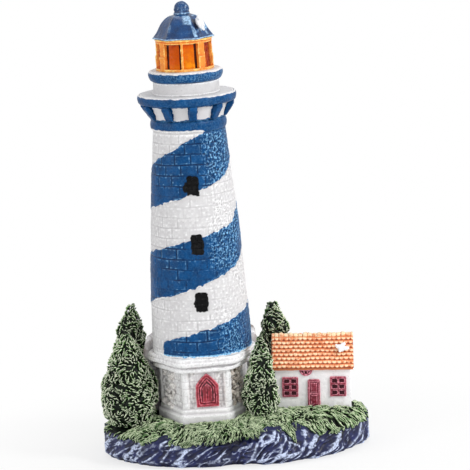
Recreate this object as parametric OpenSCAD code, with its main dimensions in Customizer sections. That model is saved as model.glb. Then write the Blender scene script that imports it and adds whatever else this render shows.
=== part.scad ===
// Lighthouse figurine: a striped tower on a six-sided plinth, with a tiled cottage and four conifers on rock.
// The piece stands on z = 0. X runs along the row from the tower to the cottage, and the front faces minus Y.

/* [Rock base] */
// Half of the base length
base_half_w = 45.3; // [42:0.1:50]
// Half of the base depth
base_half_d = 25.4; // [24:0.1:30]
// Height of the rock, up to the seat of the turf
rock_h = 8.6; // [6:0.1:11]
// Depth of the crags in the rock face
crag_d = 0.75; // [0.2:0.05:1.2]
// Thickness of the felt sheet under the base
felt_t = 1.0; // [0.8:0.1:2]
// How far the felt stands below the rock
felt_proud = 0.4; // [0.2:0.1:0.6]
// Width of the rock border that is left round the felt
felt_border = 5; // [3:0.5:10]

/* [Turf] */
// Height of the turf at its edge
turf_edge_z = 9.6; // [9.2:0.1:12]
// Height of the turf on the level round the tower
turf_top_z = 13.7; // [13:0.1:15]
// How far the turf stays inside the edge of the rock
turf_inset = 0.9; // [0.3:0.1:2]
// Height of the tufts in the turf
tuft_h = 0.45; // [0:0.05:0.5]

/* [Plinth] */
// Place of the tower axis along the row
tower_x = -10.2; // [-13:0.1:-8]
// Turn of the six-sided plinth and dome
hex_turn = 4; // [0:1:8]
// How deep the plinth sits in the turf
plinth_sink = 1.7; // [1:0.1:2.5]
// Corner radius of the plinth foot
foot_r = 16.5; // [16.2:0.1:17.5]
// Height of the plinth foot above the turf
foot_h = 4; // [3:0.1:4.4]
// Corner radius of the plinth wall
wall_r = 15.4; // [15:0.1:16]
// Height of the top of the plinth wall
wall_top_z = 30.9; // [30:0.1:32]
// Corner radius of the band under the terrace slab
band_r = 17.9; // [17:0.1:18.5]
// Height of that band
band_h = 2.2; // [1.5:0.1:3]
// Corner radius of the terrace slab
slab_r = 19.7; // [19.6:0.1:20.2]
// Height of the terrace slab
slab_h = 3.1; // [2.5:0.1:3.5]
// Width of the corner piers of the plinth
pier_w = 2.6; // [2:0.1:3]
// How far the corner piers stand out
pier_out = 0.3; // [0.2:0.05:0.5]
// Width of the broken edge of the terrace slab
slab_edge = 0.5; // [0.3:0.05:0.6]
// Width of the stones set in the left side of the plinth
stone_w = 2.5; // [2:0.1:2.7]
// Height of those stones
stone_h = 1.9; // [1.5:0.1:2.1]
// Distance from one stone to the next along a course
stone_pitch = 3.1; // [3:0.05:3.4]
// Width of the stones beside the door
door_stone_w = 1.5; // [1.2:0.1:1.7]
// Depth of the pockets of the stones
stone_in = 0.5; // [0.3:0.1:0.8]
// How far the stones stand out
stone_out = 0.3; // [0.1:0.05:0.5]

/* [Tower] */
// Radius of the shaft at its foot
shaft_foot_r = 16.85; // [16:0.05:16.9]
// Radius of the shaft at its head
shaft_head_r = 12.1; // [11.8:0.05:12.5]
// Swell of the shaft between foot and head
shaft_swell = 0.9; // [0:0.1:1.2]
// Height of the shaft
shaft_h = 76; // [70:0.5:80]
// Bore of the hollow shaft
shaft_bore_r = 8.6; // [7.5:0.1:9]
// Thickness of the floor under that bore
shaft_floor = 3; // [2:0.1:5]
// Thickness of the wall between that bore and the socket at the head
shaft_head_wall = 2; // [1.5:0.1:4]
// Radius of the spigots that join the pieces of the tower
spigot_r = 7; // [5:0.1:7.4]
// Length of each spigot in its socket
spigot_l = 2.4; // [1.5:0.1:2.6]
// Radial clearance of spigots, pegs and inlaid pieces
clearance = 0.15; // [0.1:0.05:0.25]
// Rise of the painted spiral in one turn
stripe_pitch = 32.3; // [28:0.1:36]
// How much the turns close up towards the top
stripe_close = 1.65; // [0:0.05:2]
// How much flatter the stripe lies across the front
stripe_wave = 1.25; // [0:0.05:1.6]
// Height of the blue stripe
stripe_h = 16.8; // [12:0.1:18]
// Height at which the stripe passes the front of the tower
stripe_front_z = 68.3; // [64:0.1:72]
// Thickness of the raised stripe
stripe_t = 0.3; // [0.2:0.05:0.4]
// Width of the tower windows
slit_w = 4.4; // [3:0.1:5]
// Height of the tower windows
slit_h = 6.6; // [5:0.1:8]
// Depth of the tower window recesses
slit_d = 1.1; // [0.8:0.1:1.6]
// Height of the sill of the lowest tower window
slit_first_z = 52; // [45:0.2:56]
// Distance from one tower window to the next
slit_step = 19.6; // [16:0.1:22]
// Turn of the lowest tower window to the right of the front
slit_turn = 4; // [0:0.5:6]
// How much less each window above is turned
slit_turn_back = 1.5; // [0:0.5:2]

/* [Gallery and lantern] */
// Radius of the blue belt under the gallery
belt_r = 12.9; // [12.6:0.1:13.5]
// Height of the belt
belt_h = 3.9; // [3:0.1:5]
// Height of the hollow moulding under the gallery
cove_h = 5.2; // [4.6:0.1:6.5]
// Radius of the moulding at its head
cove_head_r = 14.4; // [13.6:0.1:15]
// Count of the gallery brackets
bracket_n = 10; // [6:1:12]
// Width of a bracket at its head
bracket_w = 2.4; // [1.4:0.1:2.8]
// Radius of the gallery deck
deck_r = 16.7; // [16:0.1:18]
// Thickness of the gallery deck
deck_h = 3.1; // [2.7:0.1:4]
// Thickness of the white gallery floor
floor_t = 0.6; // [0.4:0.1:0.8]
// Width of the deck rim round the floor
floor_rim = 0.8; // [0.5:0.1:1.5]
// Depth of the socket of the drum in the deck
drum_socket = 1.6; // [1:0.1:2]
// Radius of the watch room drum
drum_r = 11.15; // [10.6:0.05:11.6]
// Height of the watch room drum
drum_h = 4.2; // [3.8:0.1:6]
// Radius of the lantern deck
lantern_deck_r = 12.6; // [12:0.1:13.5]
// Thickness of the lantern deck
lantern_deck_h = 3.7; // [3:0.1:4.5]
// Outer radius of the lantern frame
lantern_r = 9.8; // [9.4:0.1:10]
// Height of the lantern room
lantern_h = 10.5; // [9:0.1:12]
// Height of the ring at the head of the lantern frame
lantern_ring_h = 1.4; // [0.8:0.1:2]
// Height of the ring at its foot
lantern_foot_h = 0.8; // [0.5:0.1:1.4]
// Count of the lantern posts, wide and slender ones by turns
post_n = 8; // [6:2:10]
// Width of a wide post
post_w = 2.3; // [1.2:0.1:2.6]
// Width of a slender post
mullion_w = 1.0; // [0.8:0.1:2.6]
// Outer radius of the lantern frame at its head
lantern_head_r = 9.35; // [9.2:0.05:9.6]
// Wall of the lantern frame
frame_wall = 1.1; // [0.8:0.1:1.2]
// Depth of the recess of the glazing in the lantern deck
glazing_in = 1.2; // [0.8:0.1:1.6]
// Corner radius of the dome at its eaves
dome_r = 10.8; // [10.6:0.1:11.4]
// Height of the dome
dome_h = 7.9; // [6:0.1:9]
// Turn of the dome against the plinth
dome_turn = -7; // [-12:1:12]
// Thickness of the dome eaves
eaves_t = 0.5; // [0.3:0.1:0.8]
// Diameter of the ball finial
ball_d = 5.4; // [4:0.1:6.5]
// Radius of the neck of the dome under the ball
neck_r = 2.2; // [1.5:0.1:2.4]
// How far the ball is flattened on its seat
ball_sink = 1.05; // [0.2:0.05:1.4]
// Radius of the pin of the ball
pin_r = 0.8; // [0.5:0.1:1]
// Length of that pin in the dome
pin_l = 1.4; // [1:0.1:2]

/* [Plinth door] */
// Width of the door frame
tdoor_w = 7.6; // [6:0.1:8.4]
// Height of the door frame
tdoor_h = 12; // [10:0.1:13]
// Width of the frame round the door leaf
tdoor_rim = 1.25; // [0.8:0.05:1.5]
// How far the frame stands out from the wall
tdoor_out = 0.7; // [0.4:0.1:1]
// Depth of the door recess in the wall
tdoor_in = 0.8; // [0.5:0.1:1.5]

/* [Cottage] */
// Place of the cottage along the row
cottage_x = 27; // [26.6:0.1:28]
// Place of the cottage across the row
cottage_y = 4.1; // [3.4:0.1:4.6]
// Height of the ground line at the cottage
cottage_z = 13.5; // [13.2:0.1:14]
// Lean of the cottage, seen from the front
cottage_lean = 2; // [0:0.1:2.5]
// Turn of the cottage, seen from above
cottage_turn = -2; // [-3:0.5:0]
// Length of the cottage walls
cottage_l = 26.2; // [25:0.1:26.6]
// Depth of the cottage walls
cottage_d = 17; // [15.5:0.1:17.2]
// Height of the cottage walls up to the eaves
cottage_wall_h = 14.6; // [13:0.1:16]
// How deep the cottage sits in the turf
cottage_sink = 2; // [1.6:0.1:2.4]
// Slope of the roof
roof_pitch = 43; // [38:0.5:48]
// Thickness of the roof boards
roof_t = 0.9; // [0.6:0.1:1.2]
// Overhang of the roof at the eaves
eaves_out = 1.1; // [0.6:0.1:1.2]
// Overhang of the roof at the gables
verge_out = 0.7; // [0.4:0.1:0.8]
// Count of the tile courses on each slope
course_n = 8; // [5:1:10]
// Count of the tiles in a course
tile_n = 16; // [10:1:20]
// Thickness of a tile
tile_t = 0.5; // [0.35:0.05:0.7]
// Diameter of the ridge tiles
ridge_d = 2.2; // [1.8:0.1:2.6]
// Width of the cottage windows
win_w = 5.6; // [4.5:0.1:6.2]
// Height of the cottage windows
win_h = 7; // [5.5:0.1:7.4]
// Height of the window sills over the ground line
win_sill_z = 4; // [3.6:0.1:4.8]
// Distance of the left window from the middle of the wall
win_left = 7.8; // [7.2:0.1:8.6]
// Distance of the right window from the middle of the wall
win_right = 8.6; // [7.6:0.1:8.8]
// Width of the bars of the windows
win_bar = 0.7; // [0.5:0.05:0.9]
// How far the window frames stand out
win_out = 0.45; // [0.3:0.05:0.7]
// Depth of the window and door recesses
win_in = 0.7; // [0.5:0.05:1]
// Width of the cottage door frame
door_w = 4.6; // [4:0.1:5]
// Height of the cottage door frame
door_h = 10; // [9:0.1:10.4]
// Height of the cottage doorstep over the ground line
door_sill = 0.5; // [0.45:0.05:1]
// Width of the frame round the cottage door
door_rim = 0.6; // [0.4:0.05:0.8]
// Radius of the half-round vent under the eaves
vent_r = 2.2; // [1.6:0.1:2.3]
// Place of the vent from the middle of the wall
vent_x = -2.4; // [-2.6:0.1:-1.8]
// Place of the door from the middle of the wall
door_x = 0.3; // [0:0.1:0.6]

/* [Conifers] */
// Place along the row of the front left tree
tree_fl_x = -36; // [-37:0.1:-35.8]
// Place across the row of the front left tree
tree_fl_y = -4; // [-5:0.1:-3.6]
// Height of the tip of the front left tree
tree_fl_tip = 42.6; // [38:0.2:46]
// Radius of the front left tree
tree_fl_r = 9.3; // [8:0.1:9.4]
// Place along the row of the back left tree
tree_bl_x = -35.6; // [-36.5:0.1:-35]
// Place across the row of the back left tree
tree_bl_y = 11.7; // [11.4:0.1:12.4]
// Height of the tip of the back left tree
tree_bl_tip = 49.6; // [44:0.2:52]
// Radius of the back left tree
tree_bl_r = 5.4; // [4:0.1:5.5]
// Place along the row of the front right tree
tree_fr_x = 8.9; // [8.6:0.1:9.2]
// Place across the row of the front right tree
tree_fr_y = -9.6; // [-10:0.1:-9.4]
// Height of the tip of the front right tree
tree_fr_tip = 40.4; // [36:0.2:44]
// Radius of the front right tree
tree_fr_r = 6.1; // [5:0.1:6.2]
// Place along the row of the back right tree
tree_br_x = 15.7; // [15:0.1:16.4]
// Place across the row of the back right tree
tree_br_y = 19.1; // [18.9:0.1:19.5]
// Height of the tip of the back right tree
tree_br_tip = 46; // [42:0.2:48]
// Radius of the back right tree
tree_br_r = 5.4; // [4:0.1:5.5]
// Radius of the tree pegs
peg_r = 1.5; // [1:0.1:2]
// Gap under a tree peg, down to the rock
peg_gap = 0.2; // [0.1:0.1:0.6]
// Length of a tree peg inside the foliage
peg_in = 3; // [2:0.5:5]
// Depth of the sprays in the foliage
spray_d = 0.09; // [0.02:0.01:0.1]

/* [Rear rockwork] */
// Outer radius of the rockwork behind the plinth
crescent_r = 21.2; // [20.8:0.1:21.4]
// Height of the rockwork over the terrace
crescent_up = 3.6; // [2:0.1:5]
// Half of the angle that the rockwork goes round
crescent_half_a = 72; // [54:6:72]
// How far the rockwork drops at its two ends
crescent_end_drop = 2.2; // [1:0.1:3]
// How far its outer shoulder lies under its crest
crescent_shoulder = 2.5; // [1.5:0.1:4]

/* [Gulls] */
// Length of the gull on the dome
dome_gull_l = 4.6; // [3.6:0.1:5]
// Wing span of the gull on the roof
roof_gull_span = 6.2; // [5:0.1:7]
// Length of the gull on the roof
roof_gull_l = 4.4; // [3.6:0.1:5]
// Place of the gull on the roof, from the middle of the ridge
roof_gull_x = 10; // [6:0.5:11]
// Radius of the pegs of the gulls
gull_peg_r = 0.5; // [0.4:0.05:0.6]

/* [Hidden] */

sliver = 0.01;
rock_step = 6;
turf_step = 4;
turf_rings = [1, 0.955, 0.91, 0.865, 0.815, 0.76, 0.7, 0.63, 0.55, 0.46, 0.36, 0.24, 0.12];
foot_z = turf_top_z - plinth_sink;
slab_z = wall_top_z + band_h;
shaft_z = slab_z + slab_h;
belt_z = shaft_z + shaft_h;
cove_z = belt_z + belt_h;
deck_z = cove_z + cove_h;
drum_z = deck_z + deck_h;
lantern_deck_z = drum_z + drum_h;
lantern_z = lantern_deck_z + lantern_deck_h;
dome_z = lantern_z + lantern_h;
ball_z = dome_z + dome_h;
hex_start = hex_turn - 120;
hex_flat = cos(30);
facet_lift = 0.1;
face_z = foot_z + plinth_sink + foot_h + facet_lift;
face_h = wall_top_z - face_z;
stone_foot = 2;
stone_head = 1.5;
stone_rows = 5;
door_stone_foot = 1.3;
door_stone_head = 3;
arch_rise = 1.15;
arch_swell = 1.29;
stripe_step = 9;
stripe_gap = 0.1;
crescent_n = round(crescent_half_a / 6);
crescent_angles = [for (i = [-crescent_n:crescent_n]) 90 + hex_turn + 6 * i];
crescent_flare = 0.4;
core_r = lantern_r - frame_wall - clearance;
gull_at = [5.0, -4.9, dome_z + 4.4];
roof_run = cottage_d / 2 + eaves_out;
ridge_z = cottage_wall_h + cottage_d / 2 * tan(roof_pitch);
slope_l = roof_run / cos(roof_pitch);
roof_lift = 0.02;
tile_over = 0.2;
tile_start = 1.3;
tile_lap = 1.18;
tile_head = 0.3;
ridge_tile_l = 2.3;
ridge_sink = 0.25;
vent_z = cottage_wall_h - 0.95;
pane_w = (win_w - 2 * clearance - 3 * win_bar) / 2;
pane_h = (win_h - 2 * clearance - 4 * win_bar) / 3;
radii = [tree_fl_r, tree_bl_r, tree_fr_r, tree_br_r];
tips = [tree_fl_tip, tree_bl_tip, tree_fr_tip, tree_br_tip];
leans = [0.4, 1, 0.8, 0];
tree_sink = 0.4;
spray_step = 12;
spray_n = 10;
spray_rings = 22;
// The widest rock ring is centred on the origin
wide_ring = [for (a = [0:rock_step:359]) [rim(a, -0.3, 2) * cos(a), rim(a, -0.3, 2) * sin(a)]];
rim_mid_x = (max([for (p = wide_ring) p[0]]) + min([for (p = wide_ring) p[0]])) / 2;
rim_mid_y = (max([for (p = wide_ring) p[1]]) + min([for (p = wide_ring) p[1]])) / 2;
// Place and ground height of each tree
trees = [
    for (t = [[tree_fl_x, tree_fl_y], [tree_bl_x, tree_bl_y], [tree_fr_x, tree_fr_y], [tree_br_x, tree_br_y]])
    [t[0], t[1], ground(t[0], t[1]) - tree_sink]
];
stripe_turns = [
    for (turn = [-2:stripe_step / 360:2.5])
    let (z = stripe_mid(turn), half = stripe_half(z))
    if (z + half > shaft_z + 0.3 && z - half < belt_z - 0.3) turn
];

// Closed skin over rings of points, each ring with the same count, from the lowest ring to the highest
module skin(rings) {
    n = len(rings[0]);
    m = len(rings);
    polyhedron(
        points = [for (ring = rings) each ring],
        faces = concat(
            [[for (i = [0:n - 1]) i]],
            [for (j = [0:m - 2], i = [0:n - 1]) [j * n + i, (j + 1) * n + i, (j + 1) * n + (i + 1) % n]],
            [for (j = [0:m - 2], i = [0:n - 1]) [j * n + i, (j + 1) * n + (i + 1) % n, j * n + (i + 1) % n]],
            [[for (i = [n - 1:-1:0]) (m - 1) * n + i]]
        ),
        convexity = 6
    );
}

// Outline of the base: an oval, a little fuller to the right, with the swells of broken rock
function oval(a) = 1 / sqrt(pow(cos(a) / base_half_w, 2) + pow(sin(a) / base_half_d, 2));
function swell(a) = 0.012 * cos(a) + 0.012 * sin(5 * a + 20) + 0.01 * sin(9 * a - 50);
function crag(a, k) =
    crag_d * (0.6 * sin(7 * a + 75 * k) + 0.45 * sin(13 * a - 50 * k) + 0.3 * sin(23 * a + 30 * k));
function rim(a, inset, k) = oval(a) * (1 + swell(a)) - inset + (k == 0 ? 0 : crag(a, k));
function rim_ring(z, inset, k, step = rock_step) =
    [
        for (a = [0:step:359])
        let (r = rim(a, inset, k))
        [r * cos(a) - rim_mid_x, r * sin(a) - rim_mid_y, z]
    ];

module rock_base() {
    color("slateblue")
    difference() {
        skin([
            rim_ring(felt_proud, 1.6, 1),
            rim_ring(felt_proud + 1.2, 0.6, 1.4),
            rim_ring(rock_h * 0.38, -0.3, 2),
            rim_ring(rock_h * 0.62, -0.1, 2.7),
            rim_ring(rock_h * 0.85, 0.2, 3.3),
            rim_ring(rock_h, 0.7, 3.8)
        ]);
        translate([0, 0, felt_t])
        mirror([0, 0, 1])
        linear_extrude(felt_t + 1)
        felt_outline(0);
    }
}

module felt_outline(gap) {
    polygon([for (a = [0:rock_step:359]) (oval(a) - felt_border - gap) * [cos(a), sin(a)]]);
}

module felt_pad() {
    color("darkgreen")
    linear_extrude(felt_t)
    felt_outline(clearance);
}

// Height of the turf: level round the tower, falling to the edge, steeper beyond the cottage
function turf_power(a) = 4 + 9 * pow(max(cos(a), 0), 4);
function turf_rise(a, u) = turf_edge_z + (turf_top_z - turf_edge_z) * (1 - pow(u, turf_power(a)));
// Curled tufts of the turf: two fans of waves that wind across each other
function tuft(a, u) = tuft_h * u * (0.6 * sin(30 * a + u * 1400) + 0.4 * sin(14 * a - u * 2300));
function turf_point(a, u) = [
    (rim(a, turf_inset, 0) * u) * cos(a) - rim_mid_x,
    (rim(a, turf_inset, 0) * u) * sin(a) - rim_mid_y,
    turf_rise(a, u) + tuft(a, u)
];
function turf_ring(u) = [for (a = [0:turf_step:359]) turf_point(a, u)];

module turf() {
    color("darkseagreen")
    difference() {
        skin(concat(
            [rim_ring(rock_h, turf_inset + 1.1, 0, turf_step)],
            [for (u = turf_rings) turf_ring(u)],
            [[for (p = turf_ring(0.04)) [p[0], p[1], turf_top_z]]]
        ));
        translate([tower_x, 0, foot_z])
        rotate(hex_start)
        cylinder(h = 2 * plinth_sink + 2, r = foot_r + clearance, $fn = 6);
        translate([0, 0, foot_z])
        linear_extrude(plinth_sink + 5)
        crescent_outline(clearance);
        cottage_pose()
        translate([-cottage_l / 2 - clearance, -cottage_d / 2 - clearance, -cottage_sink])
        cube([cottage_l + 2 * clearance, cottage_d + 2 * clearance, cottage_sink + 6]);
        for (i = [0:3])
            translate([trees[i][0], trees[i][1], 0]) {
                cylinder(h = turf_top_z + 3, r = peg_r + clearance, $fn = 32);
                translate([0, 0, trees[i][2]])
                cylinder(h = 6, r = radii[i] * 0.84, $fn = 48);
            }
    }
}

// The six-sided plinth with its foot and corner piers
module hex(r, h) {
    rotate(hex_start)
    cylinder(h = h, r = r, $fn = 6);
}

// Six sides with a square pier at each corner
module plinth_outline(r) {
    rotate(hex_start)
    circle(r = r, $fn = 6);
    for (i = [0:5])
        rotate(hex_start + 60 * i)
        translate([wall_r - pier_w, -pier_w / 2])
        square([pier_w + pier_out, pier_w]);
}

module plinth() {
    color("whitesmoke")
    difference() {
        translate([tower_x, 0, foot_z])
        union() {
            linear_extrude(plinth_sink + foot_h * 0.55)
            plinth_outline(foot_r);
            linear_extrude(plinth_sink + foot_h)
            plinth_outline((foot_r + wall_r) / 2);
            linear_extrude(wall_top_z - foot_z)
            plinth_outline(wall_r);
        }
        translate([tower_x, 0, wall_top_z - spigot_l])
        cylinder(h = spigot_l + 1, r = spigot_r + clearance, $fn = 64);
        on_front_wall(-tdoor_in)
        linear_extrude(tdoor_in + 3)
        ogive(tdoor_w, tdoor_h);
        on_left_facet(-stone_in)
        stone_field(clearance, stone_in + 2);
        on_front_wall(-stone_in)
        door_stone_field(clearance, stone_in + 2);
    }
}

module plinth_cornice() {
    color("white")
    translate([tower_x, 0, wall_top_z])
    difference() {
        union() {
            hex(band_r, band_h + sliver);
            translate([0, 0, band_h])
            hex(slab_r - slab_edge, slab_h);
            translate([0, 0, band_h + slab_edge])
            hex(slab_r, slab_h - 2 * slab_edge);
        }
        translate([0, 0, -1])
        cylinder(h = band_h + slab_h + 2, r = spigot_r + clearance, $fn = 64);
    }
}

// Pointed arch, standing on the X axis
module ogive(w, h) {
    side = w / 2;
    spring = h - side * arch_rise;
    polygon(concat(
        [[-side, 0], [side, 0]],
        [for (a = [0:10:40]) [side * (2 * cos(a) - 1), spring + side * arch_swell * sin(a)]],
        [[0, h]],
        [for (a = [40:-10:0]) [-side * (2 * cos(a) - 1), spring + side * arch_swell * sin(a)]]
    ));
}

// Stands a drawing on a face of the plinth, with its foot just over the plinth foot
module on_facet(i, out) {
    translate([tower_x, 0, face_z])
    rotate(hex_start + 30 + 60 * i)
    translate([wall_r * hex_flat + out, 0, 0])
    rotate([90, 0, 90])
    children();
}

module on_front_wall(out) {
    on_facet(0, out)
    children();
}

module on_left_facet(out) {
    on_facet(5, out)
    children();
}

module tower_door_frame() {
    color("firebrick")
    on_front_wall(-tdoor_in + sliver)
    linear_extrude(tdoor_in + tdoor_out)
    difference() {
        ogive(tdoor_w - 2 * clearance, tdoor_h - clearance);
        translate([0, tdoor_rim * 0.5])
        ogive(tdoor_w - 2 * tdoor_rim, tdoor_h - 1.9 * tdoor_rim);
    }
}

module tower_door() {
    leaf_w = tdoor_w - 2 * tdoor_rim - 2 * clearance;
    leaf_h = tdoor_h - 1.9 * tdoor_rim - 2 * clearance;
    color("crimson")
    on_front_wall(-tdoor_in + sliver)
    translate([0, tdoor_rim * 0.5 + clearance * 0.5])
    difference() {
        linear_extrude(tdoor_in + tdoor_out * 0.5)
        ogive(leaf_w, leaf_h);
        for (side = [-1, 1])
            translate([side * leaf_w * 0.22, leaf_h * 0.12, tdoor_in + tdoor_out * 0.5 - 0.25])
            linear_extrude(1)
            ogive(leaf_w * 0.3, leaf_h * 0.62);
    }
}

// Stones set in the plaster: staggered courses of blocks, some of them left out
module stone_field(gap, h) {
    rise = (face_h - stone_foot - stone_head) / (stone_rows - 1);
    for (row = [0:stone_rows - 1], col = [0:2])
        if ((row * 2 + col) % stone_rows != 3)
            translate([(col - 1 + (row % 2 - 0.5) * 0.45) * stone_pitch, stone_foot + row * rise, 0])
            linear_extrude(h)
            stone_shape(stone_w + gap, stone_h + gap, row + col);
}

module door_stone_field(gap, h) {
    rise = (face_h - door_stone_foot - door_stone_head) / (stone_rows - 1);
    for (row = [0:stone_rows - 1])
        let (x = tdoor_w / 2 + door_stone_w * (0.8 + 0.08 * sin(row * 130)))
        translate([x, door_stone_foot + row * rise, 0])
        linear_extrude(h)
        stone_shape(door_stone_w + gap, stone_h - 0.2 + gap, row);
}

module stone_shape(w, h, turn) {
    n = 7;
    polygon([
        for (i = [0:n - 1])
        let (a = i * 360 / n + turn * 21)
        [w / 2 * cos(a), h / 2 * sin(a)]
    ]);
}

module plinth_stones() {
    color("tan")
    union() {
        on_left_facet(-stone_in + sliver)
        stone_field(-clearance, stone_in + stone_out);
        on_front_wall(-stone_in + sliver)
        door_stone_field(-clearance, stone_in + stone_out);
    }
}

// Rough rockwork that goes round the back of the plinth and stands above the terrace
function crescent_out(a) = crescent_r - 0.5 + 0.35 * sin(7 * a) + 0.25 * sin(17 * a + 40);
function crescent_in(a) = max(
    (slab_r + clearance) * hex_flat / cos(((a - hex_turn + 360) % 60) - 30),
    shaft_foot_r + stripe_gap + stripe_t + 0.4
);
function crescent_top(a) = shaft_z + crescent_up + 0.9 * sin(5 * a + 200) + 0.6 * sin(13 * a);

module crescent_outline(gap) {
    translate([tower_x, 0])
    polygon(concat(
        [for (a = crescent_angles) (crescent_out(a) + gap + crescent_flare) * [cos(a), sin(a)]],
        [
            for (i = [2 * crescent_n:-1:0])
            let (a = crescent_angles[i])
            (crescent_in(a) - gap) * [cos(a), sin(a)]
        ]
    ));
}

module rear_rockwork() {
    top = [for (a = crescent_angles) crescent_top(a)];
    rings = [
        for (i = [0:2 * crescent_n])
        let (a = crescent_angles[i], c = [cos(a), sin(a)], o = crescent_out(a), n = crescent_in(a),
            end = (i == 0 || i == 2 * crescent_n) ? crescent_end_drop : 0, mid = (o + n) / 2)
        [
            [tower_x + n * c[0], n * c[1], foot_z],
            [tower_x + n * c[0], n * c[1], top[i] - 1 - end],
            [tower_x + (n + 0.35) * c[0], (n + 0.35) * c[1], top[i] - end],
            [tower_x + (mid + 0.5) * c[0], (mid + 0.5) * c[1], top[i] - 0.3 - end],
            [tower_x + o * c[0], o * c[1], top[i] - crescent_shoulder - end],
            [tower_x + (o + crescent_flare) * c[0], (o + crescent_flare) * c[1], (shaft_z + foot_z) / 2],
            [tower_x + (o + crescent_flare / 2) * c[0], (o + crescent_flare / 2) * c[1], foot_z]
        ]
    ];
    color("gainsboro")
    skin(rings);
}

// Radius of the shaft at a height: straight taper with a slight swell
function shaft_r(z) =
    let (t = (z - shaft_z) / shaft_h)
    shaft_foot_r + (shaft_head_r - shaft_foot_r) * t + shaft_swell * 4 * t * (1 - t) * (0.6 + 0.4 * (1 - t));

module tower_shaft() {
    spigot_z = wall_top_z - spigot_l + clearance;
    socket_z = belt_z - spigot_l - clearance;
    n = 12;
    color("white")
    difference() {
        translate([tower_x, 0, 0])
        rotate_extrude($fn = 96)
        polygon(concat(
            [[0, spigot_z], [spigot_r, spigot_z], [spigot_r, shaft_z]],
            [for (i = [0:n]) [shaft_r(shaft_z + shaft_h * i / n), shaft_z + shaft_h * i / n]],
            [[0, belt_z]]
        ));
        translate([tower_x, 0, shaft_z + shaft_floor])
        cylinder(h = socket_z - shaft_head_wall - shaft_z - shaft_floor, r = shaft_bore_r, $fn = 64);
        translate([tower_x, 0, socket_z])
        cylinder(h = spigot_l + 1, r = spigot_r + clearance, $fn = 64);
        slits(clearance * 0.5, -slit_d, 4);
    }
}

// Windows up the front of the tower, each with a round head, turned a little as the tower is
module slits(gap, from, depth) {
    for (i = [0:2])
        let (z = slit_first_z + i * slit_step, r = shaft_r(z + slit_h / 2))
        translate([tower_x, 0, 0])
        rotate(slit_turn - slit_turn_back * i)
        translate([0, -r - from, z])
        rotate([90, 0, 0])
        linear_extrude(depth)
        union() {
            translate([-slit_w / 2 - gap, -gap])
            square([slit_w + 2 * gap, slit_h - slit_w * 0.35 + gap]);
            intersection() {
                translate([0, slit_h - slit_w * 0.35 - slit_w * 0.27])
                circle(r = slit_w * 0.59 + gap, $fn = 48);
                translate([-slit_w / 2 - gap, 0])
                square([slit_w + 2 * gap, slit_h + 2]);
            }
        }
}

module tower_windows() {
    color("black")
    slits(-clearance * 0.5, -slit_d + sliver, slit_d - 0.35);
}

// The blue stripe: a thin helical skin, one start, rising to the right across the front
function stripe_mid(turn) =
    stripe_front_z + stripe_pitch * turn - stripe_close * turn * turn - stripe_wave * sin(360 * turn);
function stripe_half(z) = (stripe_h - (z - stripe_front_z) * 0.05) / 2;

module spiral_band() {
    rows = 4;
    color("steelblue")
    difference() {
        skin([
            for (turn = stripe_turns)
            let (a = 360 * turn - 90, mid = stripe_mid(turn),
                low = max(mid - stripe_half(mid), shaft_z + 0.02),
                high = min(mid + stripe_half(mid), belt_z - 0.02))
            concat(
                [for (k = [0:rows]) stripe_point(a, low + (high - low) * k / rows, stripe_gap)],
                [for (k = [rows:-1:0]) stripe_point(a, low + (high - low) * k / rows, stripe_gap + stripe_t)]
            )
        ]);
        slits(clearance, -slit_d, 5);
    }
}
function stripe_point(a, z, out) =
    let (r = (shaft_r(z) + out) / cos(stripe_step / 2))
    [tower_x + r * cos(a), r * sin(a), z];

module ring_profile(points) {
    translate([tower_x, 0, 0])
    rotate_extrude($fn = 96)
    polygon(points);
}

module belt_ring() {
    bulge = 0.55;
    color("steelblue")
    ring_profile(concat(
        [[spigot_r + clearance, belt_z], [shaft_head_r, belt_z]],
        [for (t = [0:5]) [belt_r - bulge + bulge * sin(t * 36), belt_z + 0.3 + (belt_h - 0.6) * t / 5]],
        [[shaft_head_r, cove_z], [spigot_r + clearance, cove_z]]
    ));
}

function cove_r(t) = shaft_head_r + 0.3 + (cove_head_r - shaft_head_r - 0.3) * pow(t, 1.8);
module gallery_cove() {
    socket_z = deck_z - spigot_l - clearance;
    color("whitesmoke")
    ring_profile(concat(
        [[0, belt_z - spigot_l], [spigot_r, belt_z - spigot_l], [spigot_r, cove_z]],
        [for (t = [0:6]) [cove_r(t / 6), cove_z + cove_h * t / 6]],
        [[spigot_r + clearance, deck_z], [spigot_r + clearance, socket_z], [0, socket_z]]
    ));
}

module gallery_brackets() {
    seat = 0.07;
    color("steelblue")
    for (i = [0:bracket_n - 1])
        translate([tower_x, 0, 0])
        rotate(i * 360 / bracket_n - 82)
        intersection() {
            rotate([90, 0, 0])
            translate([0, 0, -bracket_w])
            linear_extrude(2 * bracket_w)
            polygon(concat(
                [for (t = [0:6]) [cove_r(t / 6) + seat, cove_z + 0.15 + (cove_h - 0.2) * t / 6]],
                [[deck_r - 0.9, deck_z - 0.05], [deck_r - 0.9, deck_z - 1.1]],
                [[cove_r(0.5) + 1.2, cove_z + cove_h * 0.42], [cove_r(0) + 0.75, cove_z + 0.15]]
            ));
            translate([0, 0, cove_z])
            linear_extrude(cove_h)
            polygon([[0, 0], [deck_r, -bracket_w * 0.62], [deck_r, bracket_w * 0.62]]);
        }
}

module gallery_deck() {
    color("steelblue")
    ring_profile([
        [0, deck_z - spigot_l], [spigot_r, deck_z - spigot_l], [spigot_r, deck_z],
        [deck_r - 0.7, deck_z], [deck_r - 0.2, deck_z + 0.5], [deck_r, deck_z + deck_h * 0.5],
        [deck_r - 0.05, drum_z - 0.3], [deck_r - 0.3, drum_z],
        [deck_r - floor_rim, drum_z], [deck_r - floor_rim, drum_z - floor_t],
        [spigot_r + clearance, drum_z - floor_t], [spigot_r + clearance, drum_z - floor_t - drum_socket],
        [0, drum_z - floor_t - drum_socket]
    ]);
}

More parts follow.
